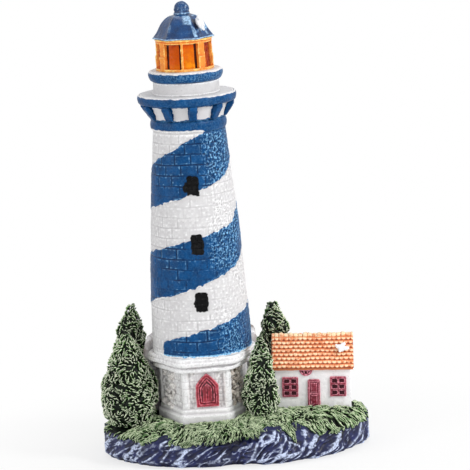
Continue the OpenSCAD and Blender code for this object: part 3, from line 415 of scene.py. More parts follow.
# Height at which the rock meets the grass along the front, where lumps of rock rise between tufts
FRONT_EDGE = [(-46, 9.6), (-40.4, 9.7), (-33, 9.8), (-29, 9.2), (-25, 11.6), (-20.8, 9.9), (-17.7, 8.8),
              (-14, 9.5), (-10.4, 9.2), (-4.5, 10.1), (1.3, 10.5), (7.8, 10.8), (12.3, 12.9), (16.7, 12.7),
              (19.2, 8.8), (22.8, 13.2), (27, 9.9), (32.6, 9.2), (36.5, 9.2), (39.7, 9.7), (46, 9.3)]
FRONT_EDGE_X, FRONT_EDGE_Z = np.array(FRONT_EDGE).T * MM


def edge_height(a):
    """Height of the line between rock and grass, towards an angle from the middle."""
    x, y = oval(a) * np.cos(a), oval(a) * np.sin(a)
    front = np.interp(x, FRONT_EDGE_X, FRONT_EDGE_Z)
    back = (9.2 + 2.4 * grain(points_at(x, y, 0), 7 * MM, 3)) * MM
    return front + (back - front) * fade(-8 * MM, 2 * MM, y)


ROCK_COLS, ROCK_ROWS = 560, 56
rock_a = np.linspace(0, 2 * np.pi, ROCK_COLS, endpoint=False)[None, :]
rock_t = np.linspace(0, 1, ROCK_ROWS)[:, None]
rock_rim = edge_height(rock_a) - 0.1 * MM
rock_z = ROCK_FOOT + (rock_rim - ROCK_FOOT) * rock_t
bulge = (0.2 - 1.7 * (1 - fade(0, 0.22, rock_t)) - 0.7 * fade(0.7, 1, rock_t)) * MM
bulge = bulge - 0.75 * (rock_rim - 9.5 * MM) * fade(0.6, 1, rock_t)
around = points_at(oval(rock_a) * np.cos(rock_a), oval(rock_a) * np.sin(rock_a), rock_z)
# The beds of the rock slant, so the pattern is sheared along the rim before it is taken
BED_SLANT = 1.15
slant = points_at(-np.sin(rock_a), np.cos(rock_a), 0) * (rock_z * BED_SLANT)[..., None]
warp = around - slant + 3.5 * MM * (grain(around, 8 * MM, 4) - 0.5)[..., None] * np.array([1, 1, 1.2])


def beds(at, size, flat, seed):
    """Crest lines along the beds of the rock, of a size in millimetres."""
    return crest(at * np.array([1, 1, flat]), size * MM, seed)


LARGE_BEDS, SMALL_BEDS, FINE_BEDS = (7.5, 0.6, 11), (3.2, 0.7, 12), (1.7, 1.0, 17)
ledge = grain(warp * np.array([1, 1, 0.8]), 4.5 * MM, 13)
rock_out = (2.3 * (beds(warp, *LARGE_BEDS) ** 1.5 - 0.55) + 1.0 * (beds(warp, *SMALL_BEDS) - 0.6)
            + 1.5 * (ledge - 0.5)) * MM
rock_out += (0.30 * (grain(around, 0.9 * MM, 14) - 0.5) + 0.5 * (beds(warp, *FINE_BEDS) - 0.6)) * MM
rock_r = oval(rock_a) + bulge + rock_out
rock_z = np.broadcast_to(rock_z, rock_r.shape)
rock_r = np.vstack([rock_r, rock_r[-1:] - 0.9 * MM, rock_r[-1:] - 3.5 * MM])
rock_z = np.vstack([rock_z, rock_z[-1:] - 0.2 * MM, np.full((1, ROCK_COLS), ROCK_TOP)])
rock_points = points_at(rock_r * np.cos(rock_a), rock_r * np.sin(rock_a), rock_z)
rock_points[..., :2] -= MID_SHIFT
low, high = (np.array(corner) for corner in frame_box)
rock_points = np.clip(rock_points, low + [0.05 * MM, 0.05 * MM, 0], high - 0.05 * MM)
rock_points = rock_points.reshape(-1, 3)
rock = new_piece("rock", rock_points, capped_faces(ROCK_ROWS + 2, ROCK_COLS))
feel_edges(rock, reach=7, strength=0.5)
rim_share = (rock_points[:, 2] - ROCK_FOOT) / (np.tile(rock_rim[0], ROCK_ROWS + 2) - ROCK_FOOT)
top_hidden = fade(0.86, 0.97, rim_share)
# A broad dry brush catches the crests of the beds, in patches
brush_at = np.vstack([warp, warp[-1:], warp[-1:]]).reshape(-1, 3)
crest_lines = fade(0.80, 0.97, beds(brush_at, *LARGE_BEDS))
crest_lines = np.maximum(crest_lines, 0.9 * fade(0.84, 0.97, beds(brush_at, *SMALL_BEDS)))
crest_lines = np.maximum(crest_lines, 0.7 * fade(0.86, 0.97, beds(brush_at, *FINE_BEDS)))
fine_patches = 0.2 + 0.8 * fade(0.38, 0.56, grain(brush_at, 0.9 * MM, 16))
crest_lines *= fade(0.47, 0.64, grain(brush_at, 3.2 * MM, 15)) * fine_patches
hollows = fade(0.42, 0.16, beds(brush_at, *LARGE_BEDS))
rock_relief = stored(rock, "relief") + 0.34 * crest_lines - 0.22 * hollows
store(rock, "relief", rock_relief + (0.42 - rock_relief) * top_hidden)

rock_paint = new_paint("rock_paint", gloss=0.36, tooth=0.4, tooth_size=0.7, spec=0.35)
rock_colour = coat(rock_paint, colour(31, 39, 90), colour(8, 11, 36), colour(204, 216, 244),
                   pit=(0.50, 0.26), edge=(0.55, 0.80), brush_size=0.7, patch=0.75)
finish_paint(rock, rock_paint, rock_colour, "rock_paint", "rock_base")

# Felt sheet: one oval of dark green felt, glued into the hollow under the rock. It is 0.4 mm proud,
# so the figurine stands on it.
felt_paint = new_paint("felt", gloss=0.9, tooth=0.8, tooth_size=0.25, spec=0.1)
felt_fibres = ramp(felt_paint, speck(felt_paint, 0.18, (1, 3, 1), 5), 0.3, 0.7)
felt_top = over(felt_paint, felt_fibres, colour(18, 52, 34), colour(42, 92, 62))
felt_paint.node_tree.links.new(felt_top, felt_paint.node_tree.nodes["Principled BSDF"].inputs["Base Color"])
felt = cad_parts["felt_pad"]
felt.data.materials.clear()
felt.data.materials.append(felt_paint)
dress(felt, "felt")

# Turf: modelled grass in soft green, level round the tower and falling to a ragged fringe that hangs over the
# rock. The strands are carved in swirling tufts, with near-black painted shade between them and on their
# sides, and brushed pale on top.
TURF_EDGE = 9.6 * MM
TURF_LEVEL = 13.7 * MM
TURF_INSET = 0.9 * MM
TOWER = np.array([-10.2, 0.0]) * MM
HEX_START = math.radians(4 - 120)
COTTAGE = np.array([27.0, 4.1]) * MM
TREES = {"front_left": (-36.0, -4.0), "back_left": (-35.6, 11.7),
         "front_right": (8.9, -9.6), "back_right": (15.7, 19.1)}


def turf_reach(a):
    """Distance from the middle to the edge of the turf."""
    return oval(a) - TURF_INSET


def turf_map(x, y):
    """Place and normal on the turf of a point of its flat pattern, which hangs down past the edge."""
    a, s = np.arctan2(y, x), np.hypot(x, y)
    reach = turf_reach(a)
    rim_at = points_at(reach * np.cos(a), reach * np.sin(a), 0)
    fringe = 0.1 + 1.5 * grain(rim_at, 0.9 * MM, 36) + 0.8 * grain(rim_at, 4 * MM, 37)
    s = np.minimum(s, reach + MM * (fringe - 2.6 * fade(10.1 * MM, 11.2 * MM, edge_height(a))))
    power = 4 + 9 * np.maximum(np.cos(a), 0) ** 4
    rise = TURF_EDGE + (TURF_LEVEL - TURF_EDGE) * (1 - np.minimum(s / reach, 1) ** power)
    past = np.maximum(s - reach, 0)
    z = rise + np.minimum(edge_height(a) - TURF_EDGE, 0) * fade(0.9, 1, s / reach) - past
    col = (np.degrees(a) % 360) / 360 * ROCK_COLS
    row = np.clip((z - ROCK_FOOT) / (edge_height(a) - 0.1 * MM - ROCK_FOOT), 0, 1) * (ROCK_ROWS - 1)
    rock_here = rock_r[np.round(row).astype(int), np.round(col).astype(int) % ROCK_COLS]
    r = np.where(past > 0, np.maximum(reach + 0.2 * MM, rock_here + 0.15 * MM), s)
    tilt = fade(-2.5 * MM, 0.8 * MM, s - reach)
    normal = points_at(np.cos(a) * tilt, np.sin(a) * tilt, 1 - 0.75 * tilt)
    normal /= np.linalg.norm(normal, axis=-1, keepdims=True)
    return points_at(r * np.cos(a) - MID_SHIFT[0], r * np.sin(a) - MID_SHIFT[1], z), normal


def hex_reach(a, corner, soft=22):
    """Reach of a six-sided outline with slightly worn corners, towards an angle from its middle."""
    sides = HEX_START + np.radians(30 + 60 * np.arange(6))
    facing = np.maximum(np.cos(np.asarray(a)[..., None] - sides), 0) ** soft
    return corner * math.cos(math.radians(30)) * facing.sum(-1) ** (-1 / soft)


def strands(name, paths, ups, half_width, height, tone):
    """Carved four-sided strands along paths, pointed at both ends. They store relief and tone."""
    count, stations = paths.shape[:2]
    along = np.gradient(paths, axis=1)
    along /= np.linalg.norm(along, axis=-1, keepdims=True) + 1e-12
    side = np.cross(along, ups)
    side /= np.linalg.norm(side, axis=-1, keepdims=True) + 1e-12
    body = slice(1, stations - 1)
    t = np.linspace(0, 1, stations)[body]
    belly = np.sin(np.pi * np.minimum(t * 1.25 + 0.12, 1)) ** 0.6 * 0.9 + 0.1
    wide = (half_width[:, None] * belly)[..., None]
    tall = (height[:, None] * (0.6 + 0.4 * np.sin(np.pi * t)))[..., None]
    middle, up = paths[:, body], ups[:, body]
    left, right = middle - side[:, body] * wide, middle + side[:, body] * wide
    rings = np.stack([left, middle + up * tall, right, middle - up * tall * 0.4], 2)
    inner = rings.shape[1]
    points = np.concatenate([paths[:, :1], rings.reshape(count, inner * 4, 3), paths[:, -1:]], 1)
    each = points.shape[1]
    faces = [(0, 1 + (k + 1) % 4, 1 + k) for k in range(4)]
    tail = 1 + (inner - 1) * 4
    faces += [(each - 1, tail + k, tail + (k + 1) % 4) for k in range(4)]
    quads = [(1 + i * 4 + k, 1 + i * 4 + (k + 1) % 4, 5 + i * 4 + (k + 1) % 4, 5 + i * 4 + k)
             for i in range(inner - 1) for k in range(4)]
    start = (np.arange(count) * each)[:, None, None]
    every = (np.array(faces) + start).reshape(-1, 3).tolist()
    every += (np.array(quads) + start).reshape(-1, 4).tolist()
    piece = new_piece(name, points.reshape(-1, 3), every)
    # The ridge of a strand takes the dry brush; its sides and underside are painted dark, as shade
    ridge = np.tile([0.30, 0.95, 0.30, 0.05], inner)
    store(piece, "relief", np.tile(np.concatenate([[0.2], ridge, [0.75]]), count))
    store(piece, "tone", np.repeat(tone, each))
    return piece


EDGE_ROOM = 0.05 * MM
BED_COLS, BED_ROWS = 300, 64
bed_a = np.linspace(0, 2 * np.pi, BED_COLS, endpoint=False)[None, :]
lump_here = fade(10.1 * MM, 11.0 * MM, edge_height(bed_a))
bed_rim = turf_reach(bed_a) - 2.0 * MM * lump_here
bed_s = bed_rim * np.linspace(0.02, 1, BED_ROWS)[:, None]
hang = bed_rim + np.array([0.05, 0.10, 0.15])[:, None] * MM * (1 - lump_here)
bed_s = np.vstack([bed_s, hang])
bed_points, bed_normals = turf_map(bed_s * np.cos(bed_a), bed_s * np.sin(bed_a))
bed_points = bed_points + bed_normals * ((grain(bed_points, 1.6 * MM, 21) - 0.6) * 0.5 * MM)[..., None]
bed_points = np.clip(bed_points, low + EDGE_ROOM, high - EDGE_ROOM)
below = bed_points[-1] * np.array([0.94, 0.94, 1])
bed_points = np.concatenate([bed_points.reshape(-1, 3), below])
bed = new_piece("turf_bed", bed_points, capped_faces(BED_ROWS + 4, BED_COLS))
# Painted shade: the bed under the strands is painted near-black
store(bed, "relief", np.full(len(bed_points), 0.1))
store(bed, "tone", np.full(len(bed_points), 0.2))

BLADES = 2500
STATIONS = 8
seeds = rng.random((BLADES * 5, 2))
seed_a = seeds[:, 0] * 2 * np.pi
rim_room = np.where(edge_height(seed_a) > 10.4 * MM, -1.1 * (edge_height(seed_a) - 9.6 * MM), 0.2 * MM)
seed_s = (turf_reach(seed_a) + rim_room) * np.sqrt(0.05 + 0.95 * seeds[:, 1])
root = np.stack([seed_s * np.cos(seed_a), seed_s * np.sin(seed_a)], -1)
placed = root - MID_SHIFT
# Nothing grows where the plinth, the rockwork behind it, the cottage or a tree stands
from_tower = placed - TOWER
to_tower = np.hypot(*from_tower.T)
tower_a = np.arctan2(from_tower[:, 1], from_tower[:, 0])
free = to_tower > hex_reach(tower_a, 16.6 * MM) + 0.1 * MM
behind = np.cos(tower_a - math.radians(94)) > math.cos(math.radians(74))
free &= ~((to_tower < 21.4 * MM) & behind)
free &= (np.abs(placed - COTTAGE) > np.array([13.0, 8.4]) * MM).any(-1)
for spot, girth in (("front_left", 6.0), ("back_left", 3.2), ("front_right", 4.0), ("back_right", 3.2)):
    free &= np.hypot(*(placed - np.array(TREES[spot]) * MM).T) > girth * MM
root = root[free][:BLADES]
count = len(root)
root_a = np.arctan2(root[:, 1], root[:, 0])
root3 = points_at(*root.T, 0)
near_rim = fade(-6 * MM, -1.5 * MM, np.hypot(*root.T) - turf_reach(root_a))
swirl = (grain(root3, 6.5 * MM, 31) - 0.5) * 2.8 + (grain(root3, 2.4 * MM, 32) - 0.5) * 1.9
heading = root_a + swirl * (1 - 0.7 * near_rim)
bend = (grain(root3, 3.1 * MM, 33) - 0.5) * 2.2 + rng.normal(0, 0.2, count)
curl = (0.55 + 0.5 * rng.random(count)) * np.sign(grain(root3, 3.6 * MM, 35) - 0.5)
reach = (2.5 + 1.6 * rng.random(count)) * MM
flat = [root]
for step in range(STATIONS - 1):
    share = step / (STATIONS - 2)
    turn = heading + bend * (share - 0.35) + curl * math.sin(2 * math.pi * share)
    flat.append(flat[-1] + (reach / (STATIONS - 1))[:, None] * np.stack([np.cos(turn), np.sin(turn)], -1))
flat = np.stack(flat, 1)
# No strand climbs the foot of the tower: its points are pushed out, and it lies low beside a wall
from_foot = flat - MID_SHIFT - TOWER
foot_a = np.arctan2(from_foot[..., 1], from_foot[..., 0])
foot_gap = np.hypot(from_foot[..., 0], from_foot[..., 1]) - hex_reach(foot_a, 17.3 * MM)
flat = flat - np.stack([np.cos(foot_a), np.sin(foot_a)], -1) * np.minimum(foot_gap, 0)[..., None]
blade_points, blade_ups = turf_map(flat[..., 0], flat[..., 1])
arch = np.sin(np.pi * np.linspace(0.08, 0.9, STATIONS))[None, :, None]
house_gap = np.abs(flat - MID_SHIFT - COTTAGE) - np.array([13.1, 8.5]) * MM
wall_gap = np.minimum(foot_gap, house_gap.max(-1))
arch = arch * (0.2 + 0.8 * fade(0, 2.5 * MM, wall_gap))[..., None]
blade_points = blade_points + blade_ups * (0.10 * MM + arch * (0.3 + 0.5 * rng.random((count, 1, 1))) * MM)
tone = np.clip(grain(root3, 4 * MM, 34) + rng.normal(0, 0.16, count), 0, 1)
grass = strands("grass", blade_points, blade_ups, (0.20 + 0.08 * rng.random(count)) * MM,
                (0.50 + 0.20 * rng.random(count)) * MM, tone)
move_to(grass, np.clip(vertices_of(grass), low + EDGE_ROOM, high - EDGE_ROOM))


def leaf_coat(paint, gap_shade, body, lit, tip, patch_size, brush):
    """Green strands: painted shade at their sides and on what lies under them, a body that varies by strand,
    and pale dry-brushed ridges.
    """
    relief, tone_value = attribute(paint, "relief"), attribute(paint, "tone")
    mixed = over(paint, ramp(paint, tone_value, 0.25, 0.8), body, lit)
    shaded_sides = over(paint, ramp(paint, relief, 0.68, 0.36), mixed, gap_shade)
    patchy = ramp(paint, speck(paint, patch_size), *brush)
    fine = ramp(paint, speck(paint, 0.8), 0.30, 0.50)
    share = times(paint, ramp(paint, relief, 0.62, 0.84), times(paint, patchy, fine))
    return over(paint, share, shaded_sides, tip)


grass_paint = new_paint("grass_paint", gloss=0.5, tooth=0.2, tooth_size=0.5, spec=0.2)
grass_colour = leaf_coat(grass_paint, colour(3, 12, 4), colour(52, 90, 42), colour(92, 132, 72),
                         colour(228, 241, 203), patch_size=2.4, brush=(0.30, 0.50))
finish_paint(bed, grass_paint, grass_colour, "grass_paint", "turf")
finish_paint(grass, grass_paint, grass_colour, "grass_paint")

# Plinth: a six-sided base of painted plaster with a stepped foot and a pier at each corner. It sits
# in a pocket of the turf. Its left side is rough, and the corner right of the door is bare stone.
FOOT_Z = 12.0
WALL_TOP_Z = 30.9
WALL_CORNER = 15.2
PIER_HALF_W = 1.5


def densify(profile, spacing, soften):
    """Points of a profile in millimetres, close together and with slightly worn corners."""
    out = []
    for (r0, z0), (r1, z1) in zip(profile, profile[1:]):
        parts = max(1, int(np.ceil(math.hypot(r1 - r0, z1 - z0) / spacing)))
        out += [(r0 + (r1 - r0) * i / parts, z0 + (z1 - z0) * i / parts) for i in range(parts)]
    out = np.array(out + [profile[-1]])
    for _ in range(soften):
        out[1:-1] = (out[:-2] + 2 * out[1:-1] + out[2:]) / 4
    return out * MM


def round_tower(r, z, a):
    """Points round the tower axis from reaches, heights and angles."""
    return points_at(TOWER[0] + r * np.cos(a), TOWER[1] + r * np.sin(a), z)


def tower_skin(name, r, z, a):
    """A closed skin round the tower axis from a grid of reaches, heights and angles."""
    points = round_tower(r, z, a)
    return new_piece(name, points.reshape(-1, 3), capped_faces(*points.shape[:2]))


def roughen(piece, *layers):
    """Moves the points along their normals by layers of lumps: (amount, size, seed) in millimetres."""
    points, normals = vertices_of(piece), normals_of(piece)
    shift = sum(amount * MM * (grain(points, size * MM, seed) - 0.5) for amount, size, seed in layers)
    move_to(piece, points + normals * shift[:, None])


def turns(cols):
    """One row of angles, once round."""
    return np.linspace(-np.pi, np.pi, cols, endpoint=False)[None, :]


def gap_to(a, angle):
    """Signed difference from an angle in degrees, in radians, from -pi to pi."""
    return (a - math.radians(angle) + np.pi) % (2 * np.pi) - np.pi


def sector(a, first, last, soft):
    """1 between two angles in degrees, falling to 0 over soft degrees."""
    middle, half = (first + last) / 2, (last - first) / 2
    off = np.degrees(np.abs(gap_to(a, middle)))
    return 1 - fade(half - soft, half + soft, off)


def ashlar(x, z, course, block, joint, seed):
    """Depth from 0 to 1 of the joints in a wall of blocks, measured along x and z in metres."""
    row = np.floor(z / (course * MM))
    wander = 0.16 * course * MM * (grain(points_at(x, z, 0), 4 * MM, seed) - 0.5)
    level = (z + wander) / (course * MM)
    flat_joint = np.abs(level - np.round(level)) * course
    along = x / (block * MM) + row * 0.5 + 0.37 * np.sin(row * 12.9898 + seed)
    upright_joint = np.abs(along - np.round(along)) * block
    return np.maximum(1 - fade(0, joint, flat_joint), 1 - fade(0, joint, upright_joint))


def from_corner(a):
    """Angle to the nearest corner of the six-sided outline."""
    return np.abs((a - HEX_START + np.pi / 6) % (np.pi / 3) - np.pi / 6)


plinth_rows = densify([(8, FOOT_Z), (16.5, FOOT_Z), (16.5, 15.5), (16.1, 15.9), (15.75, 16.2), (15.75, 17.3),
                       (15.3, 17.7), (WALL_CORNER, 18.0), (WALL_CORNER, WALL_TOP_Z), (8, WALL_TOP_Z)],
                      0.25, 1)
plinth_a = turns(420)
plinth_z = plinth_rows[:, 1][:, None]
foot_turn = np.radians(-3.0) * (1 - fade(17 * MM, 19 * MM, plinth_z))
plinth_r = hex_reach(plinth_a - foot_turn, plinth_rows[:, 0][:, None], 30)
is_wall = fade(17.6 * MM, 18.2 * MM, plinth_z) * fade(14 * MM, 15 * MM, plinth_rows[:, 0][:, None])
corner_off = from_corner(plinth_a) * WALL_CORNER
pier = 1 - fade(PIER_HALF_W - 0.3, PIER_HALF_W + 0.25, corner_off)
plinth_r = plinth_r + is_wall * (0.42 * pier - 0.1) * MM
around = round_tower(plinth_r, plinth_z, plinth_a)
rough_left = sector(plinth_a, -172, -122, 4) * (0.35 + 0.65 * sector(plinth_a, -176, -140, 8))
rough_right = sector(plinth_a, -48, -18, 2.5) * fade(17.4 * MM, 18.4 * MM, plinth_z)
door_side = sector(plinth_a, -72, -58, 3) + sector(plinth_a, -112, -103, 2)
rough = np.clip(rough_left * is_wall + rough_right + 0.5 * door_side * is_wall, 0, 1)
lumps = grain(around, 1.7 * MM, 41) - 0.55 + 0.5 * (grain(around, 0.7 * MM, 42) - 0.5)
stone_joints = ashlar(plinth_a * 15 * MM, plinth_z, 2.5, 3.6, 0.28, 43)
relief = rough * (0.95 * lumps - 0.12) - 0.12 * stone_joints * is_wall
plinth_r = plinth_r + (relief + 0.10 * (grain(around, 1.1 * MM, 44) - 0.5)) * MM
plinth = tower_skin("plinth_wall", plinth_r, plinth_z, plinth_a)
feel_edges(plinth, reach=5, strength=0.9)
bare = np.clip(rough_right * 1.15 + rough_left * is_wall * 0.22 + door_side * is_wall * 0.22, 0, 1)
store(plinth, "bare", np.broadcast_to(bare, plinth_r.shape).ravel())


def white_coat(paint, brush_size=0.55, light_lift=0):
    """White paint, a little grey in its hollows and with fine pores. Its last argument makes the same white
    paler when above 0 and darker below it: painted light where a piece gets too little light, painted shade
    where it gets too much.
    """
    body = colour(230 + light_lift, 229 + light_lift, 230 + light_lift)
    shade = colour(194 + light_lift, 191 + light_lift, 194 + light_lift)
    washed = coat(paint, body, shade, colour(247, 247, 248),
                  pit=(0.47, 0.20), edge=(0.53, 0.68), brush_size=brush_size, patch=0.28)
    pores = ramp(paint, speck(paint, 0.42, detail=5), 0.38, 0.26, 0.5)
    return over(paint, pores, washed, colour(150, 146, 148))


plinth_paint = new_paint("plinth_paint", gloss=0.5, tooth=0.35, tooth_size=0.5, spec=0.4)
stone_tone = coat(plinth_paint, colour(166, 154, 142), colour(96, 84, 74), colour(228, 221, 212),
                  pit=(0.50, 0.30), edge=(0.52, 0.70), brush_size=0.5, patch=0.7)
bare_share = times(plinth_paint, attribute(plinth_paint, "bare"),
                   ramp(plinth_paint, speck(plinth_paint, 1.3), 0.36, 0.52, 1.2))
plinth_colour = over(plinth_paint, bare_share, white_coat(plinth_paint), stone_tone)
finish_paint(plinth, plinth_paint, plinth_colour, "white_paint", "plinth")

# Terrace: a moulded band and a worn slab of painted plaster on the plinth wall. The spigot of the
# tower goes down through it.
terrace_rows = densify([(7.2, WALL_TOP_Z), (17.4, WALL_TOP_Z), (17.85, 31.2), (17.9, 32.1), (17.3, 32.5),
                        (17.3, 32.9), (19.0, 33.2), (19.55, 33.6), (19.7, 34.2), (19.7, 34.7), (19.45, 34.9),
                        (19.45, 35.2), (19.3, 35.8), (18.9, 36.15), (7.2, 36.2)], 0.25, 1)
terrace_a = turns(400)
terrace_z = terrace_rows[:, 1][:, None]
slab_turn = np.radians(3.5) * fade(32.6 * MM, 33.2 * MM, terrace_z)
terrace_r = hex_reach(terrace_a - slab_turn, terrace_rows[:, 0][:, None], 18)
terrace = tower_skin("terrace", terrace_r, terrace_z, terrace_a)
roughen(terrace, (0.22, 1.3, 51), (0.12, 0.6, 52), (0.3, 5, 53))
feel_edges(terrace, reach=5, strength=0.9)
store(terrace, "bare", 0.35 * np.broadcast_to(sector(terrace_a, -185, -160, 8), terrace_r.shape).ravel())
finish_paint(terrace, plinth_paint, plinth_colour, "white_paint", "plinth_cornice")

# Stones: broken field stones pressed into the plaster of the plinth. They are whitened on its left
# side and left brown at the corner right of the door.
ico = bmesh.new()
bmesh.ops.create_icosphere(ico, subdivisions=3, radius=1)
ICO_POINTS = np.array([v.co[:] for v in ico.verts])
ICO_FACES = np.array([[v.index for v in f.verts] for f in ico.faces])
ico.free()


def boulders(name, places, sizes, seed):
    """Rounded broken stones at places, each with its three half sizes in millimetres."""
    points, faces = [], []
    for i, (place, size) in enumerate(zip(places, sizes)):
        turn = Matrix.Rotation(rng.uniform(0, 6.28), 3, Vector(rng.normal(size=3)))
        off = ICO_POINTS * size * MM @ np.array(turn).T
        push = 1 + 0.45 * (grain(off + i * 0.01, 0.8 * max(size) * MM, seed) - 0.5) * 2
        points.append(np.array(place) + off * push[:, None])
        faces.append(ICO_FACES + i * len(ICO_POINTS))
    return new_piece(name, np.concatenate(points), np.concatenate(faces).tolist())


stone_spots, stone_sizes = [], []
for first, last, how_many in ((-171, -140, 22), (-50, -17, 26)):
    for _ in range(how_many):
        angle = math.radians(rng.uniform(first, last))
        height = rng.uniform(17.6, 30.0)
        reach_here = hex_reach(angle, 15.3 * MM)
        stone_spots.append(round_tower(reach_here, height * MM, angle))
        stone_sizes.append(rng.uniform(0.45, 1.0, 3))
stones = boulders("field_stones", stone_spots, stone_sizes, 61)
feel_edges(stones, reach=3, strength=0.7)
stone_paint = new_paint("stone_paint", gloss=0.6, tooth=0.5, tooth_size=0.4, spec=0.3)
stone_pale = coat(stone_paint, colour(208, 203, 199), colour(156, 147, 140), colour(238, 235, 232),
                  pit=(0.50, 0.28), edge=(0.50, 0.66), brush_size=0.9, patch=0.6)
stone_brown = coat(stone_paint, colour(164, 150, 138), colour(92, 78, 68), colour(226, 218, 208),
                   pit=(0.50, 0.28), edge=(0.50, 0.66), brush_size=0.9, patch=0.6)
stone_colour = over(stone_paint, attribute(stone_paint, "tone"), stone_pale, stone_brown)
store(stones, "tone", fade(-1 * MM, 1 * MM, vertices_of(stones)[:, 0] - TOWER[0]))
finish_paint(stones, stone_paint, stone_colour, "stone_paint", "plinth_stones")

# Rockwork: a rough wall of whitened rock that hugs the back of the plinth and stands a little above
# the terrace. Its ends show on both sides of the tower.
REAR_TURN, REAR_SPREAD = 94, 72
work_a = np.radians(np.linspace(REAR_TURN - REAR_SPREAD, REAR_TURN + REAR_SPREAD, 170))[None, :]
# Its section runs from the plinth outwards, in shares of its depth of about 10 mm, and heights
WORK_DEEP = 10
work_section = [(0.0, 12.0), (0.0, 33.0), (0.0, 38.6), (0.25, 39.9), (0.55, 39.9), (0.85, 38.8),
                (1.0, 36.0), (1.08, 25.0), (1.05, 12.0)]
work_dense = densify([(share * WORK_DEEP, z) for share, z in work_section], 0.45, 2)
work_share, work_z = work_dense[:, :1] / (WORK_DEEP * MM), work_dense[:, 1:]
inner = np.maximum(hex_reach(work_a, 19.95 * MM, 60), 17.9 * MM)
top_wave = 1.9 * (grain(points_at(np.cos(work_a), np.sin(work_a), 0), 0.17, 71) - 0.5) * MM
from_middle = np.degrees(np.abs(gap_to(work_a, REAR_TURN)))
end_drop = 1.8 * MM * fade(REAR_SPREAD - 6, REAR_SPREAD, from_middle)
work_z = work_z + (top_wave - end_drop) * fade(30 * MM, 38 * MM, work_z)
work_r = inner + (21.0 * MM - inner) * work_share
work_points = round_tower(work_r, work_z, work_a).transpose(1, 0, 2)
work_faces = [face[::-1] for face in capped_faces(*work_points.shape[:2])]
rockwork = new_piece("rockwork", work_points.reshape(-1, 3), work_faces)
roughen(rockwork, (1.1, 3.2, 72), (0.8, 1.4, 73), (0.3, 0.6, 74))
feel_edges(rockwork, reach=5, strength=0.6)
work_paint = new_paint("rockwork_paint", gloss=0.55, tooth=0.4, tooth_size=0.5, spec=0.35)
work_colour = coat(work_paint, colour(234, 232, 234), colour(160, 150, 146), colour(249, 248, 249),
                   pit=(0.43, 0.12), edge=(0.51, 0.66), brush_size=0.9, patch=0.3)
finish_paint(rockwork, work_paint, work_colour, "stone_paint", "rear_rockwork")

# Tower door: a pointed frame and a planked leaf in crimson, set in a recess of the front wall. Its
# raised edges are brushed pink.
FRONT_FACET = HEX_START + math.radians(30)


def prism(outline, low_z, high_z):
    """Points and faces of a straight prism over an outline, in millimetres."""
    n = len(outline)
    points = [(x, y, z) for z in (low_z, high_z) for x, y in outline]
    faces = [tuple(range(n))[::-1], tuple(range(n, 2 * n))]
    faces += [(i, (i + 1) % n, n + (i + 1) % n, n + i) for i in range(n)]
    return points, faces


def box(x0, x1, y0, y1, z0, z1):
    """A straight block, in millimetres."""
    return prism([(x0, y0), (x1, y0), (x1, y1), (x0, y1)], z0, z1)


def cast(name, solids, stand, voxel, layers):
    """Solids joined into one casting with worn and roughened edges, then stood in place by a matrix."""
    points, faces = [], []
    for solid_points, solid_faces in solids:
        faces += [tuple(i + len(points) for i in face) for face in solid_faces]
        points += solid_points
    rough_piece = new_piece(name + "_rough", np.array(points) * MM, faces)
    remesh = rough_piece.modifiers.new("remesh", "REMESH")
    remesh.mode = "VOXEL"
    remesh.voxel_size = voxel * MM
    worn = rough_piece.modifiers.new("worn", "SMOOTH")
    worn.iterations = 1
    depsgraph = bpy.context.evaluated_depsgraph_get()
    mesh = bpy.data.meshes.new_from_object(rough_piece.evaluated_get(depsgraph))
    bpy.data.objects.remove(rough_piece)
    mesh.transform(stand)
    mesh.polygons.foreach_set("use_smooth", [True] * len(mesh.polygons))
    piece = bpy.data.objects.new(name, mesh)
    bpy.context.collection.objects.link(piece)
    roughen(piece, *layers)
    return piece


def stand_on(place, right, up, out):
    """Matrix that stands a drawing at a place, with its X, Y and Z towards right, up and out."""
    return Matrix.Translation(place) @ Matrix((right, up, out)).transposed().to_4x4()


def on_tower(turn, z, reach=0, beside=0):
    """Matrix for a drawing that faces outwards on the tower at an angle, with sizes in millimetres."""
    out = Vector((math.cos(turn), math.sin(turn), 0))
    right = Vector((-out.y, out.x, 0))
    place = Vector((*TOWER, z * MM)) + out * reach * MM + right * beside * MM
    return stand_on(place, right, Vector((0, 0, 1)), out)


door_stand = on_tower(FRONT_FACET, z=18.1, reach=13.16, beside=0.1)
GABLE_SIDE = [(3.75, 0.4), (3.95, 4), (3.85, 7.9), (2.6, 9.6), (1.0, 11.3)]
GABLE = [(-3.75, 0.4), *GABLE_SIDE, (0, 12.0)] + [(-x, y) for x, y in GABLE_SIDE[:0:-1]]


def shrink(outline, share_x, share_y, up):
    """An outline made smaller, and moved up by some millimetres."""
    return [(x * share_x, y * share_y + up) for x, y in outline]


def ring(outer, inner_outline, low_z, high_z):
    """A frame between two outlines of the same count, as a chain of blocks."""
    sides = zip(outer, outer[1:] + outer[:1], inner_outline[1:] + inner_outline[:1], inner_outline)
    return [prism(side, low_z, high_z) for side in sides]


